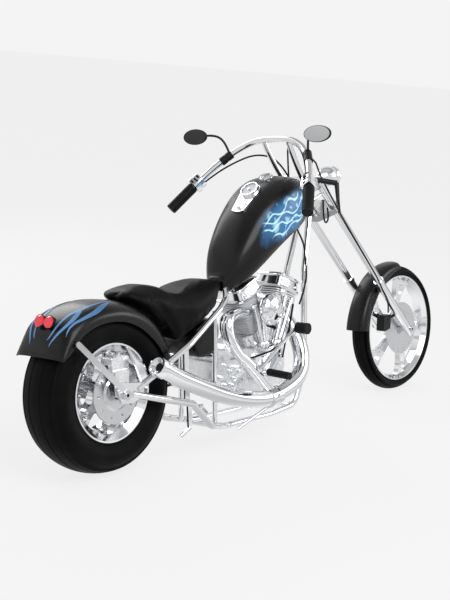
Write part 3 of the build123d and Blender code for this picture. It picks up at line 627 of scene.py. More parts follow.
def inflate(piece, pressure, cap):
    """Swells a closed skin as cloth under pressure, no point moving further than the cap."""
    scene = bpy.context.scene
    before = [vertex.co.copy() for vertex in piece.data.vertices]
    cloth = modify(piece, "CLOTH")
    cloth.settings.use_pressure = True
    cloth.settings.uniform_pressure_force = pressure
    cloth.settings.effector_weights.gravity = 0.0
    cloth.point_cache.frame_start = 1
    cloth.point_cache.frame_end = 20
    for step in range(1, 21):
        scene.frame_set(step)
    apply_modifiers(piece)
    scene.frame_set(1)
    for vertex, start in zip(piece.data.vertices, before):
        moved = vertex.co - start
        if moved.length > cap:
            vertex.co = start + moved.normalized() * cap


# Depth of the grooves in the tread and of the lines on the shoulders
GROOVE = 0.0022
TYRES = {
    # axle, then radius, half width, the bead's radius and half width, crown, half width of the tread
    "rear": (REAR_AXLE, (REAR_RADIUS, 0.114, 0.204, 0.092, REAR_CROWN, 0.088)),
    "front": (FRONT_AXLE, (FRONT_RADIUS, 0.052, 0.283, 0.042, FRONT_CROWN, 0.034)),
}


def tyre_profile(radius, half, bead, bead_half, crown, tread_half):
    """(radius, place across) from one bead over the tread to the other, with shoulder lines."""
    fall = crown - sqrt(crown**2 - tread_half**2)
    wall = radius - (radius - bead) * 0.52
    side = [(bead - 0.006, bead_half - 0.012), (bead + 0.004, bead_half + 0.001),
            (bead + 0.010, bead_half + 0.001), (bead + 0.013, bead_half + 0.004)]
    flank = rounded([side[-1], (wall, half * 1.03), (radius - fall, tread_half)], 16)
    side += [(spot.x, spot.y) for spot in flank[1:-1]]
    side += [(radius - fall - 0.012, tread_half * 1.055 - GROOVE),
             (radius - fall - 0.006, tread_half * 1.035), (radius - fall, tread_half),
             (radius - fall + 0.001, tread_half - 0.003)]
    tread = []
    for y in spaced(31, tread_half - 0.006, 0.0):
        drop = crown - sqrt(crown**2 - y**2)
        grooved = any(abs(y - tread_half * share) < 0.0025 for share in (0.36, 0.86))
        tread.append((radius - drop - (GROOVE if grooved else 0.0), y))
    half_line = side + tread
    return half_line + [(r, -y) for r, y in reversed(half_line[:-1])]


class MOTORCYCLE_OT_tyres(bpy.types.Operator):
    """Makes both tyres, with their bead lines, shoulder lines and tread grooves"""

    bl_idname = "motorcycle.tyres"
    bl_label = "Tyres"

    def execute(self, context):
        for end, (axle, sizes) in TYRES.items():
            shape = bmesh.new()
            skin(shape, rings(tyre_profile(*sizes), axle, LEFT, 128), around=True)
            mesh_piece(end + "_tyre_tread", shape, end + "_wheel", "tyre", stands_for=[end + "_tyre"])
        return {"FINISHED"}


LICKS = (
    # angle about the axle, share of the way over the fender from its right edge, half width
    ((84.5, 0.340, 0.0012), (96.0, 0.290, 0.0060), (105.0, 0.285, 0.0083), (113.5, 0.285, 0.0106),
     (119.0, 0.325, 0.0106), (123.5, 0.330, 0.0068), (128.5, 0.335, 0.0068), (133.5, 0.350, 0.0060),
     (137.5, 0.370, 0.0042), (140.0, 0.400, 0.0004)),
    ((111.0, 0.290, 0.0040), (119.0, 0.240, 0.0121), (124.0, 0.225, 0.0106), (130.0, 0.235, 0.0075),
     (134.5, 0.275, 0.0068), (139.0, 0.310, 0.0045), (141.5, 0.330, 0.0030), (143.5, 0.325, 0.0004)),
    ((86.0, 0.320, 0.0012), (96.5, 0.225, 0.0106), (106.0, 0.160, 0.0113), (112.5, 0.150, 0.0091),
     (118.5, 0.155, 0.0075), (123.5, 0.175, 0.0060), (128.0, 0.185, 0.0045), (131.5, 0.180, 0.0038),
     (135.0, 0.165, 0.0004)),
)


def on_fender(angle, share, lift):
    """A point on the rear fender at an angle and a share of its section, lifted off the paint."""
    row = fender_row(REAR_AXLE, REAR_FENDER, angle)
    lengths = [0.0]
    for first, second in zip(row, row[1:]):
        lengths.append(lengths[-1] + (second - first).length)
    goal = min(max(share, 0.001), 0.999) * lengths[-1]
    spot = max(index for index in range(len(row) - 1) if lengths[index] <= goal)
    run = row[spot + 1] - row[spot]
    point = row[spot] + run * ((goal - lengths[spot]) / run.length)
    around = Vector((-sin(radians(angle)), 0, cos(radians(angle))))
    return point + run.cross(around).normalized() * lift


def flame_paint(name, low, high):
    """Blue airbrushing that pales toward the flame's tips."""
    shader = Shader(name)
    along = shader.axes()[0]
    drift = shader.noise(14.0)
    pale = (along * -1.0 + drift * 0.10).ramp(0.10, 0.36)
    return shader.finish(base_color=shader.mix(pale, low, high), roughness=0.34, coat_weight=0.1,
                         specular_ior_level=0.2)


# The rear fender's radius and the length of its section, where the flames are
FLAME_RADIUS, FLAME_SECTION = 0.38, 0.42


def flame(name, widen, lift, material):
    """Strips of paint along the licks on both sides, widened and lifted off the fender."""
    shape = bmesh.new()
    for lick in LICKS:
        line = rounded(lick, 5)
        for flipped in (False, True):
            rows = []
            for index, spot in enumerate(line):
                before, after = line[max(index - 1, 0)], line[min(index + 1, len(line) - 1)]
                ahead = Vector((radians(after.x - before.x) * FLAME_RADIUS,
                                (after.y - before.y) * FLAME_SECTION)).normalized()
                half = spot.z + widen
                row = []
                for share in spaced(5, -1.0, 1.0):
                    angle = spot.x - degrees(ahead.y * half * share / FLAME_RADIUS)
                    over = spot.y + ahead.x * half * share / FLAME_SECTION
                    row.append(on_fender(angle, 1 - over if flipped else over, lift))
                rows.append(row)
            skin(shape, rows)
    mesh_piece(name, shape, "chassis", "black_paint", material, sharp=0)


class MOTORCYCLE_OT_flames(bpy.types.Operator):
    """Paints the three licks of flame on both sides of the rear fender"""

    bl_idname = "motorcycle.flames"
    bl_label = "Flames"

    def execute(self, context):
        blue = tuple(settings().flame)
        pale = [channel * 1.6 + 0.06 for channel in blue[:3]] + [1.0]
        deep = [channel * 0.08 for channel in blue[:3]] + [1.0]
        for name, widen, lift, low, high in (("flame_shadow", 0.0022, 0.0006, deep, deep),
                                             ("flame_edge", 0.0, 0.0009, pale, pale),
                                             ("flame_body", -0.0013, 0.0012, blue, pale)):
            flame(name, widen, lift, flame_paint(name, low, high))
        return {"FINISHED"}


# The crankshaft's place, and each cylinder's lean from upright
CRANK = Vector((1.034, 0, 0.318))
VEE = radians(22.5)
# Distances up a cylinder from the crankshaft
BARREL_FOOT, BARREL_TOP = 0.140, 0.345
FIN_FOOT, FIN_PITCH, FIN_COUNT = 0.168, 0.0104, 17
PUSHROD_TOP, HEAD_FOOT, ROCKER_FOOT = 0.312, 0.346, 0.352
PUSHRODS = (
    # foot's x, the cylinder it serves (rear -1, front 1), its top's distance ahead of that cylinder
    (0.972, -1, 0.034), (0.944, -1, -0.016), (1.034, 1, -0.030), (1.062, 1, 0.020),
)
GEARBOX_BOLTS = (
    # x, z, radius
    (0.731, 0.319, 0.019), (0.751, 0.285, 0.016), (0.736, 0.256, 0.013), (0.660, 0.300, 0.014),
    (0.790, 0.310, 0.011), (0.690, 0.352, 0.010), (0.690, 0.262, 0.010),
)


def leaning(way):
    """The directions up and along the cylinder that leans fore (1) or aft (-1)."""
    return Vector((way * sin(VEE), 0, cos(VEE))), Vector((cos(VEE), 0, -way * sin(VEE)))


def stack(shape, foot, up, along, levels, corner):
    """Adds a block with rounded corners from its levels of (height, half length, half width)."""
    across = up.cross(along)
    rows = []
    for height, length, width in levels:
        bend = min(corner, length * 0.95, width * 0.95)
        row = []
        for turn_x, turn_y, start in ((1, 1, 0), (-1, 1, 1), (-1, -1, 2), (1, -1, 3)):
            for step in range(5):
                turn = pi / 2 * (start + step / 4)
                row.append(foot + up * height + along * (turn_x * (length - bend) + bend * cos(turn))
                           + across * (turn_y * (width - bend) + bend * sin(turn)))
        rows.append(row)
    skin(shape, rows, around=True, ends=True)


def turned(shape, centre, way, profile, count=32):
    """Adds a turned form from its profile of (radius, distance along the axis)."""
    skin(shape, rings(profile, centre, way, count), around=True, ends=True)


def knob(shape, centre, way, radius, height):
    """Adds one round bolt head or button with a soft rim."""
    rim = min(radius, height) * 0.3
    turned(shape, centre, way, [(radius, -0.002), (radius, height - rim), (radius - rim, height)], 16)


def bolt_circle(shape, centre, face, radius, count, size, start=0.0):
    """Adds bolt heads of one size (radius, height) evenly around a cover."""
    for index in range(count):
        turn = 2 * pi * index / count + start
        knob(shape, Vector(centre) + Vector((cos(turn), 0, sin(turn))) * radius, face, *size)


def mirror_profile(profile):
    """A profile of (radius, distance) that runs on through its own mirror image."""
    return profile + [(radius, -along) for radius, along in reversed(profile)]


def cylinders():
    """The cooling fins, which grow up to the ninth, the heads' plates, and the barrels in black, painted
    shade that darkens the gaps between the fins.
    """
    fins, barrels = bmesh.new(), bmesh.new()
    for way in (-1, 1):
        up, along = leaning(way)
        for index in range(FIN_COUNT):
            reach = 0.064 + 0.016 * min(index / 8, 1.0)
            stack(fins, CRANK + up * (FIN_FOOT + index * FIN_PITCH), up, along,
                  [(0.0, reach - 0.0008, reach + 0.0012), (0.0006, reach, reach + 0.002),
                   (0.0036, reach, reach + 0.002), (0.0044, reach - 0.0012, reach + 0.0008)], 0.026)
        stack(fins, CRANK + up * HEAD_FOOT, up, along, [(0.0, 0.080, 0.082), (0.006, 0.084, 0.086)], 0.022)
        # The barrels are black as painted shade for the deep gaps between the fins
        turned(barrels, CRANK, up, [(0.060, BARREL_FOOT), (0.060, BARREL_TOP)])
    mesh_piece("cylinder_fins", fins, "chassis", "alloy", fin_metal(), ["cylinders"])
    mesh_piece("cylinder_barrels_painted_shade", barrels, "chassis", "black_metal")


def rocker_boxes():
    """The rocker boxes with their lids, bolts and round plugs."""
    shape = bmesh.new()
    for way in (-1, 1):
        up, along = leaning(way)
        across = up.cross(along)
        foot = CRANK + up * ROCKER_FOOT
        stack(shape, foot, up, along,
              [(0.0, 0.084, 0.084), (0.002, 0.087, 0.087), (0.009, 0.087, 0.087), (0.012, 0.080, 0.081),
               (0.046, 0.074, 0.076), (0.050, 0.078, 0.080), (0.056, 0.080, 0.082), (0.062, 0.078, 0.080),
               (0.070, 0.060, 0.064)], 0.024)
        for ahead in (-0.055, 0.055):
            for out in (-0.055, 0.055):
                knob(shape, foot + along * ahead + across * out + up * 0.064, up, 0.006, 0.006)
        for ahead in (-0.045, 0.0, 0.045):
            knob(shape, foot + along * ahead - LEFT * 0.078 + up * 0.024, -LEFT, 0.0065, 0.006)
        plug = foot - along * (way * 0.04) - up * 0.024
        knob(shape, plug - LEFT * 0.080, -LEFT, 0.022, 0.012)
        knob(shape, plug - LEFT * 0.091, -LEFT, 0.011, 0.006)
    mesh_piece("rocker_boxes", shape, "chassis", "chrome", stands_for=["rocker_covers"])


def pushrod_covers():
    """The four pushrod covers, each with its nuts and its step half way up."""
    shape = bmesh.new()
    for foot_x, way, ahead in PUSHRODS:
        up, along = leaning(way)
        foot = Vector((foot_x, -0.098, 0.398))
        top = CRANK + up * PUSHROD_TOP + along * ahead - LEFT * 0.094
        run = (top - foot).length
        turned(shape, foot, top - foot,
               [(0.016, 0.0), (0.017, 0.006), (0.016, 0.020), (0.0125, 0.026), (0.0110, run * 0.55),
                (0.0130, run * 0.56), (0.0130, run - 0.02), (0.0155, run - 0.016), (0.0155, run)], 20)
    mesh_piece("pushrod_covers", shape, "chassis", "chrome", stands_for=["pushrod_tubes"])


def air_cleaner():
    """The round air cleaner, scalloped around its rim."""
    centre = Vector((0.905, -0.170, 0.588))
    scallops, points = 12, 72
    rows = []
    for radius, out in ((0.058, 0.0), (0.070, -0.004), (0.074, -0.012), (0.074, -0.026), (0.066, -0.038),
                        (0.050, -0.045), (0.047, -0.041), (0.020, -0.047), (0.018, -0.053), (0.006, -0.056)):
        row = []
        for index in range(points):
            turn = 2 * pi * index / points
            wave = 1 - 0.045 * (1 + cos(scallops * turn)) / 2 if radius > 0.060 else 1.0
            row.append(centre + Vector((cos(turn), 0, sin(turn))) * radius * wave + LEFT * out)
        rows.append(row)
    shape = bmesh.new()
    skin(shape, rows, around=True, ends=True)
    mesh_piece("air_cleaner_cover", shape, "chassis", "chrome", stands_for=["air_cleaner"], sharp=0.6)


def engine_bolts():
    """The bolts of the gearbox, the cam cover and the primary cover."""
    shape = bmesh.new()
    for x, z, radius in GEARBOX_BOLTS:
        knob(shape, Vector((x, -0.086, z)), -LEFT, radius, 0.010)
        knob(shape, Vector((x, -0.095, z)), -LEFT, radius * 0.5, 0.007)
    bolt_circle(shape, (1.010, -0.107, 0.335), -LEFT, 0.058, 8, (0.0055, 0.006), start=0.3)
    bolt_circle(shape, (1.005, 0.143, 0.312), LEFT, 0.066, 12, (0.005, 0.005))
    mesh_piece("engine_bolts", shape, "chassis", "chrome")


class MOTORCYCLE_OT_engine(bpy.types.Operator):
    """Makes the finned cylinders, the rocker boxes, the pushrod covers, the air cleaner and the bolts"""

    bl_idname = "motorcycle.engine"
    bl_label = "Engine top"

    def execute(self, context):
        for make in (cylinders, rocker_boxes, pushrod_covers, air_cleaner, engine_bolts):
            make()
        return {"FINISHED"}


# The front pipe's centre line from its port to its tip, and the middle of the clamp on it
FRONT_PIPE = (
    (1.140, -0.050, 0.535), (1.158, -0.100, 0.480), (1.140, -0.176, 0.370), (1.085, -0.214, 0.262),
    (0.960, -0.218, 0.208), (0.800, -0.218, 0.186), (0.560, -0.218, 0.240), (0.330, -0.218, 0.340),
    (0.220, -0.216, 0.392), (0.128, -0.216, 0.446),
)
PIPE_CLAMP = Vector((0.868, -0.218, 0.194))


def front_pipe():
    """The long front pipe with its port flange, its clamp and its capped tip."""
    pipe = tube_piece("front_pipe", [FRONT_PIPE], 0.038, "chassis", "chrome", None, ["front_exhaust"])
    pipe.data.bevel_resolution = 8
    pipe.data.use_fill_caps = False
    end = Vector(FRONT_PIPE[-1])
    way = (end - Vector(FRONT_PIPE[-2])).normalized()
    shape = bmesh.new()
    turned(shape, end, way, [(0.0385, -0.050), (0.0430, -0.044), (0.0430, -0.006), (0.0405, 0.0),
                             (0.0345, 0.001), (0.0320, -0.006), (0.0180, -0.016), (0.0170, -0.022)], 48)
    turned(shape, Vector((1.141, -0.055, 0.531)), Vector((0.3, -0.8, -0.6)),
           [(0.046, 0.0), (0.048, 0.004), (0.048, 0.016), (0.044, 0.020)])
    turned(shape, PIPE_CLAMP, Vector((1, 0, 0.10)),
           mirror_profile([(0.0385, -0.036), (0.0450, -0.034), (0.0450, -0.018), (0.0415, -0.014)]), 40)
    knob(shape, PIPE_CLAMP + Vector((0, -0.040, 0.012)), -LEFT, 0.008, 0.012)
    mesh_piece("pipe_tip", shape, "chassis", "chrome")
    # A black disc deep in the tip's bore is painted shade, standing in for the dark inside of the pipe
    bore = bmesh.new()
    turned(bore, end - way * 0.0205, way, [(0.0168, -0.002), (0.0168, 0.0)])
    mesh_piece("pipe_bore_painted_shade", bore, "chassis", "chrome", finish("black_metal"))


def rear_pipe():
    """The hooked rear pipe with its two ridges, and the hanger at its end."""
    routes = [[(0.880, -0.040 - out, 0.566), (0.690, -0.105 - out, 0.590), (0.650, -0.120 - out, 0.520),
               (0.690, -0.140 - out, 0.430 - out), (0.760, -0.172 - out, 0.350), (0.850, -0.212, 0.230)]
              for out in (0.0, 0.022)]
    tube_piece("rear_pipe", routes, 0.024, "chassis", "chrome", None, ["rear_exhaust"])
    tube_piece("pipe_hanger", [[(0.838, -0.212, 0.150), (0.700, -0.152, 0.068)]], 0.008, "chassis", "chrome")


class MOTORCYCLE_OT_exhaust(bpy.types.Operator):
    """Makes the two smooth exhaust pipes with their flange, clamp, tip and hanger"""

    bl_idname = "motorcycle.exhaust"
    bl_label = "Exhaust"

    def execute(self, context):
        front_pipe()
        rear_pipe()
        return {"FINISHED"}


# The left half of the handlebar's centre line, from its end to its middle
BAR = ((0.890, 0.410, 1.030), (0.962, 0.362, 1.110), (1.052, 0.302, 1.208), (1.134, 0.224, 1.294),
       (1.178, 0.122, 1.349), (1.186, 0.0, 1.356))


def bar_point(back, side):
    """A point on a grip's centre line, measured from the bar's end, and the bar's direction there."""
    end, inner = (Vector((x, side * y, z)) for x, y, z in BAR[:2])
    way = (inner - end).normalized()
    return end + way * back, way


def arch_and_risers():
    """The arched bar, and the two bent risers that carry it."""
    arch = [(x, -y, z) for x, y, z in BAR] + list(reversed(BAR[:-1]))
    risers = [[(1.338, side * 0.062, 1.118), (1.318, side * 0.062, 1.158), (1.240, side * 0.068, 1.254),
               (1.182, side * 0.074, 1.352)] for side in (-1, 1)]
    tube_piece("bar_arch", [arch], 0.0155, "front_end", "chrome", None, ["handlebar"])
    tube_piece("bar_risers", risers, 0.0145, "front_end", "chrome")


def grips():
    """The ribbed rubber grips."""
    profile = [(0.016, -0.004), (0.024, -0.003), (0.026, 0.001)]
    for index in range(24):
        low = 0.004 + index * 0.006
        profile += [(0.0262, low), (0.0262, low + 0.0038), (0.0252, low + 0.0045), (0.0252, low + 0.0053)]
    profile += [(0.0262, 0.1485), (0.0240, 0.150), (0.016, 0.151)]
    shape = bmesh.new()
    for side in (-1, 1):
        foot, way = bar_point(0.0, side)
        turned(shape, foot, way, profile, 40)
    mesh_piece("grip_rubbers", shape, "front_end", "rubber", stands_for=["grips"])


def switches():
    """The two-part switch block beside each grip, with its three buttons."""
    blocks, buttons = bmesh.new(), bmesh.new()
    for side in (-1, 1):
        foot, way = bar_point(0.152, side)
        back = Vector((-1, 0, 0.2))
        along = (back - way * back.dot(way)).normalized()
        stack(blocks, foot, way, along,
              [(0.0, 0.026, 0.026), (0.002, 0.033, 0.031), (0.024, 0.034, 0.032), (0.026, 0.025, 0.025),
               (0.031, 0.025, 0.025), (0.033, 0.033, 0.031), (0.055, 0.031, 0.029), (0.058, 0.024, 0.022)],
              0.013)
        for index in range(3):
            stack(buttons, foot + way * (0.010 + index * 0.018) + along * 0.031, along, way,
                  [(0.0, 0.005, 0.009), (0.004, 0.005, 0.009), (0.005, 0.004, 0.008)], 0.002)
    mesh_piece("switch_blocks", blocks, "front_end", "chrome", stands_for=["switch_housings"])
    mesh_piece("switch_buttons", buttons, "front_end", "rubber")


# Half the width and half the height of a mirror
MIRROR_WIDE, MIRROR_TALL = 0.075, 0.038


def oval(shape, centre, facing, profile):
    """Adds a mirror's oval from its profile of (share of the full size, distance along its facing)."""
    tall = facing.cross(LEFT).normalized()
    turns = [2 * pi * index / 48 for index in range(48)]
    rim = [LEFT * cos(turn) * MIRROR_WIDE + tall * sin(turn) * MIRROR_TALL for turn in turns]
    rows = [[centre + facing * out + spot * share for spot in rim] for share, out in profile]
    skin(shape, rows, around=True, ends=True)


def mirror_clamps():
    """The grooved clamps that hold the mirrors' stems to the bar."""
    shape = bmesh.new()
    for side in (-1, 1):
        below, above = (Vector((x, side * y, z)) for x, y, z in BAR[2:4])
        turned(shape, Vector((1.112, side * 0.246, 1.268)), above - below,
               mirror_profile([(0.0158, -0.034), (0.021, -0.032), (0.021, -0.006), (0.0195, -0.004)]))
    mesh_piece("mirror_clamps", shape, "front_end", "black_metal")


def mirrors():
    """The oval mirrors with their glass and their bent stems."""
    shells = bmesh.new()
    facing = Vector((-1, 0, 0.1)).normalized()
    # The left glass is darkened to 0.12 of the chrome, painted shade standing in for the dark that it
    # reflects; the right one keeps 0.9 as its tint
    for side, hand, tint_and_painted_shade in ((-1, "right", 0.9), (1, "left", 0.12)):
        centre = Vector((1.028, side * 0.367, 1.371))
        oval(shells, centre, facing, [(0.55, -0.013), (0.86, -0.009), (0.99, -0.001), (1.0, 0.004),
                                      (0.97, 0.009), (0.93, 0.0085)])
        glass = bmesh.new()
        oval(glass, centre, facing, [(0.935, 0.007), (0.93, 0.0088)])
        mesh_piece("mirror_glass_" + hand, glass, "front_end", "mirror_glass",
                   chrome("mirror_glass", tint_and_painted_shade, 0.02), sharp=0.6)
    mesh_piece("mirror_shells", shells, "front_end", "black_metal", stands_for=["mirrors"], sharp=0.6)
    stems = [[(1.126, side * 0.238, 1.285), (1.110, side * 0.246, 1.340), (1.080, side * 0.285, 1.382),
              (1.040, side * 0.330, 1.375)] for side in (-1, 1)]
    tube_piece("mirror_stems", stems, 0.0055, "front_end", "black_metal")


class MOTORCYCLE_OT_bars(bpy.types.Operator):
    """Makes the arched handlebar with its risers, grips, switches and mirrors"""

    bl_idname = "motorcycle.bars"
    bl_label = "Handlebar"

    def execute(self, context):
        for make in (arch_and_risers, grips, switches, mirror_clamps, mirrors):
            make()
        return {"FINISHED"}


# Routes of the cables that turn with the bars, and of the one from under the tank to the engine
BAR_CABLES = (
    ((0.968, 0.378, 1.088), (1.060, 0.316, 1.172), (1.130, 0.236, 1.238), (1.205, 0.130, 1.290),
     (1.300, 0.060, 1.250), (1.360, 0.040, 1.136)),
    ((1.360, 0.060, 1.136), (1.348, 0.056, 1.250), (1.302, 0.020, 1.340), (1.310, -0.045, 1.320),
     (1.352, -0.050, 1.240), (1.360, -0.050, 1.134)),
    ((1.412, -0.108, 1.060), (1.408, -0.110, 0.975), (1.430, -0.110, 0.940), (1.456, -0.110, 0.972),
     (1.450, -0.104, 1.020)),
)
ENGINE_CABLE = ((1.240, -0.045, 0.968), (1.290, -0.080, 0.880), (1.282, -0.098, 0.760),
                (1.287, -0.098, 0.665), (1.225, -0.100, 0.570))


def gauge():
    """The tank's blank gauge in its rim, with two knobs and the ignition switch behind it."""
    up = Vector((-0.66, 0, 0.75)).normalized()
    middle = Vector((1.002, 0, 1.108)) + up * 0.022
    rim = bmesh.new()
    turned(rim, middle, up,
           [(0.0455, -0.008), (0.0455, 0.003), (0.0430, 0.006), (0.0385, 0.006), (0.0372, 0.001)], 48)
    turned(rim, middle, up, [(0.007, 0.0), (0.007, 0.005), (0.004, 0.006)], 20)
    for side in (-1, 1):
        knob(rim, middle + Vector((-0.062, side * 0.020, -0.052)) - up * 0.009, up, 0.0055, 0.008)
    knob(rim, middle + Vector((-0.080, 0.0, -0.070)) - up * 0.009, up, 0.014, 0.012)
    mesh_piece("gauge_rim", rim, "chassis", "chrome")
    face = bmesh.new()
    turned(face, middle, up, [(0.0375, -0.0005), (0.0375, 0.0012)], 40)
    mesh_piece("gauge_face", face, "chassis", "steel", dull_steel())


def oil_tank():
    """The rounded oil tank under the seat, drawn in toward its flanks."""
    middle = Vector((0.565, 0.5))
    outline = rounded([(0.478, 0.548), (0.485, 0.440), (0.520, 0.405), (0.600, 0.412), (0.640, 0.450),
                       (0.648, 0.590)], 5, closed=True)
    rows = []
    for share, y in mirror_profile([(0.80, -0.106), (0.90, -0.104), (0.98, -0.096), (1.0, -0.084)]):
        spots = [middle + (spot - middle) * share for spot in outline]
        rows.append([Vector((spot.x, y, spot.y)) for spot in spots])
    shape = bmesh.new()
    skin(shape, rows, around=True, ends=True)
    mesh_piece("oil_tank_shell", shape, "chassis", "black_paint", stands_for=["oil_tank"], sharp=0.7)


class MOTORCYCLE_OT_details(bpy.types.Operator):
    """Makes the cables, the tank's gauge and switches, the oil tank, and the yokes' grey finish"""

    bl_idname = "motorcycle.details"
    bl_label = "Details"

    def execute(self, context):
        tube_piece("bar_cables", BAR_CABLES, 0.0042, "front_end", "rubber")
        tube_piece("engine_cable", [ENGINE_CABLE], 0.0045, "chassis", "rubber")
        gauge()
        oil_tank()
        grey = dull_steel()
        for name in ("lower_yoke", "upper_yoke"):
            frame["nodes"][name].data.materials[0] = grey
        return {"FINISHED"}


class MOTORCYCLE_OT_metal(bpy.types.Operator):
    """Gives every carried-over node the finish of its slot"""

    bl_idname = "motorcycle.metal"
    bl_label = "Finish the carried-over nodes"

    def execute(self, context):
        for row in frame["record"]["subparts"]:
            node = frame["nodes"][row["node"]]
            node.data.materials.clear()
            node.data.materials.append(finish(row["material_slot"]))
        return {"FINISHED"}


class StageSettings(bpy.types.PropertyGroup):
    """Where the machine is seen from, and its light."""

    azimuth: bpy.props.FloatProperty(
        name="Azimuth", description="Camera's turn about the upright machine", unit="ROTATION",
        default=radians(-48.7097))
    elevation: bpy.props.FloatProperty(
        name="Elevation", description="Camera's height above the upright machine's level", unit="ROTATION",
        default=radians(7.0864))
    roll: bpy.props.FloatProperty(
        name="Roll", description="Camera's roll", unit="ROTATION", default=radians(-1.0792))
    distance: bpy.props.FloatProperty(
        name="Distance", description="From the camera to its target", unit="LENGTH", default=5.5326)
    target: bpy.props.FloatVectorProperty(
        name="Target", description="Point that the camera looks at, in the upright machine's frame",
        subtype="XYZ", default=(0.8014, 0.0, 0.6278))
    backdrop: bpy.props.FloatProperty(
        name="Backdrop", description="How bright the floor and the background are seen, 1 being white",
        default=0.905)
    sky: bpy.props.FloatProperty(
        name="Sky", description="Strength of the even light from all round", default=0.75)
    lens: bpy.props.FloatProperty(
        name="Lens", description="Focal length for a 36 mm sensor in millimetres", default=72.716)


# How bright the surroundings are in reflections, from the horizon at 0 to overhead at 1
BANDS = ((0.0, 0.70), (0.05, 0.34), (0.12, 0.85), (0.26, 0.95), (0.34, 0.42), (0.42, 0.90), (0.62, 0.70),
         (0.70, 0.30), (0.90, 0.55))
LAMPS = (
    # name, place, width, watts
    ("key_light", (-1.5, -3.6, 4.2), 3.2, 150.0),
    ("side_light", (3.6, -3.4, 2.6), 2.2, 60.0),
    ("back_light", (0.6, 4.2, 3.4), 3.0, 90.0),
)
LAMP_TARGET = Vector((0, 0, 0.6))


def floor_paper(backdrop):
    """Pale paper that is seen as the background's white, keeps a faint shadow, and glows in reflections in
    rings of painted reflection.
    """
    paper = Shader("floor_paper")
    x, y = paper.axes()[:2]
    # Bright and dim rings that the paper glows with in reflections: a painted reflection, not a lamp
    painted_reflection_rings = (((x * x + y * y) ** 0.5) * 7.0).wave()
    lit = paper.node("ShaderNodeBsdfDiffuse", {}, {"Color": (0.9, 0.9, 0.9, 1)})
    seen = paper.mix_surfaces(0.9, lit, paper.shine("Emission", backdrop * 0.98))
    mirrored = paper.shine("Emission", painted_reflection_rings * 0.20 + 0.80)
    bounced = paper.mix_surfaces(paper.ray("Glossy"), lit, mirrored)
    return paper.end_in(paper.mix_surfaces(paper.ray("Camera"), bounced, seen))


def studio(backdrop, sky):
    """A world that lights evenly, is seen as the background's white, and is banded in reflections."""
    world = Shader("studio", "worlds")
    way = world.node("ShaderNodeTexCoord", out="Generated")
    height = world.node("ShaderNodeSeparateXYZ", {}, {"Vector": way}, out="Z")
    stops = [(at, (grey, grey, grey, 1)) for at, grey in BANDS]
    bands = world.node("ShaderNodeValToRGB", {"stops": stops}, {"Fac": height}, out="Color")
    mirrored = world.shine("Background", 1.0, bands)
    bounced = world.mix_surfaces(world.ray("Glossy"), world.shine("Background", sky), mirrored)
    seen = world.mix_surfaces(world.ray("Camera"), bounced, world.shine("Background", backdrop))
    return world.end_in(seen, "ShaderNodeOutputWorld")


def lamp(scene, name, place, size, power):
    """A square soft lamp that faces the machine's middle."""
    data = bpy.data.lights.new(name, "AREA")
    data.size = size
    data.energy = power
    holder = bpy.data.objects.new(name, data)
    scene.collection.objects.link(holder)
    holder.location = place
    holder.rotation_mode = "QUATERNION"
    holder.rotation_quaternion = (LAMP_TARGET - Vector(place)).to_track_quat("-Z", "Y")


def camera(scene, sight):
    """A camera that sees the parked machine from where its settings say."""
    side, rise, roll = sight.azimuth, sight.elevation, sight.roll
    back = Vector((sin(side) * cos(rise), -cos(side) * cos(rise), sin(rise)))
    level = Vector((0, 0, 1)).cross(back).normalized()
    upward = back.cross(level)
    right = level * cos(roll) + upward * sin(roll)
    up = upward * cos(roll) - level * sin(roll)
    matrix = Matrix((right, up, back)).transposed().to_4x4()
    matrix.translation = Vector(sight.target) + back * sight.distance
    data = bpy.data.cameras.new("camera")
    data.lens = sight.lens
    data.sensor_width = 36.0
    data.clip_end = 200.0
    holder = bpy.data.objects.new("camera", data)
    scene.collection.objects.link(holder)
    holder.matrix_world = PARKED @ matrix
    scene.camera = holder


def floor(scene, backdrop):
    """A wide round floor of pale paper."""
    shape = bmesh.new()
    bmesh.ops.create_circle(shape, cap_ends=True, segments=96, radius=60.0)
    data = bpy.data.meshes.new("floor")
    shape.to_mesh(data)
    shape.free()
    data.materials.append(floor_paper(backdrop))
    sheet = bpy.data.objects.new("floor", data)
    scene.collection.objects.link(sheet)


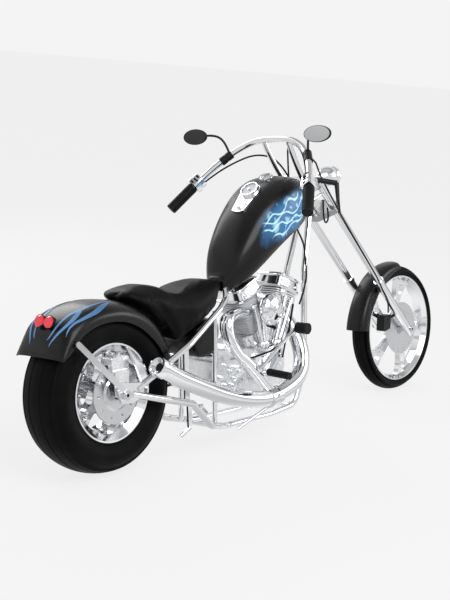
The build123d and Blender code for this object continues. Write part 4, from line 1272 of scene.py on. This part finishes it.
class MOTORCYCLE_OT_stage(bpy.types.Operator):
    """Sets up the camera, the floor and the soft light"""

    bl_idname = "motorcycle.stage"
    bl_label = "Set the stage"

    def execute(self, context):
        scene = context.scene
        sight = scene.motorcycle_stage
        camera(scene, sight)
        floor(scene, sight.backdrop)
        scene.world = studio(sight.backdrop, sight.sky)
        for row in LAMPS:
            lamp(scene, *row)
        scene.view_settings.view_transform = "Standard"
        return {"FINISHED"}


OPERATORS = [MOTORCYCLE_OT_metal, MOTORCYCLE_OT_fenders, MOTORCYCLE_OT_flames, MOTORCYCLE_OT_tank,
             MOTORCYCLE_OT_seat, MOTORCYCLE_OT_tyres, MOTORCYCLE_OT_engine, MOTORCYCLE_OT_exhaust,
             MOTORCYCLE_OT_bars, MOTORCYCLE_OT_details, MOTORCYCLE_OT_stage]


class MOTORCYCLE_PT_panel(bpy.types.Panel):
    """Lists the steps that build the motorcycle's looks"""

    bl_idname = "MOTORCYCLE_PT_panel"
    bl_label = "Motorcycle"
    bl_space_type = "VIEW_3D"
    bl_region_type = "UI"
    bl_category = "Motorcycle"

    def draw(self, context):
        for step in OPERATORS:
            self.layout.operator(step.bl_idname)
        for group in (context.scene.motorcycle_finish, context.scene.motorcycle_stage):
            for name in group.bl_rna.properties.keys():
                if name not in ("rna_type", "name"):
                    self.layout.prop(group, name)


GROUPS = {"motorcycle_finish": FinishSettings, "motorcycle_stage": StageSettings}
CLASSES = [*GROUPS.values(), *OPERATORS, MOTORCYCLE_PT_panel]


def register():
    for kind in CLASSES:
        bpy.utils.register_class(kind)
    for name, group in GROUPS.items():
        setattr(bpy.types.Scene, name, bpy.props.PointerProperty(type=group))


def unregister():
    for name in GROUPS:
        delattr(bpy.types.Scene, name)
    for kind in reversed(CLASSES):
        bpy.utils.unregister_class(kind)


def main():
    register()
    for step in OPERATORS:
        family, name = step.bl_idname.split(".")
        getattr(getattr(bpy.ops, family), name)()
    bpy.context.view_layer.update()


if __name__ == "__main__":
    main()
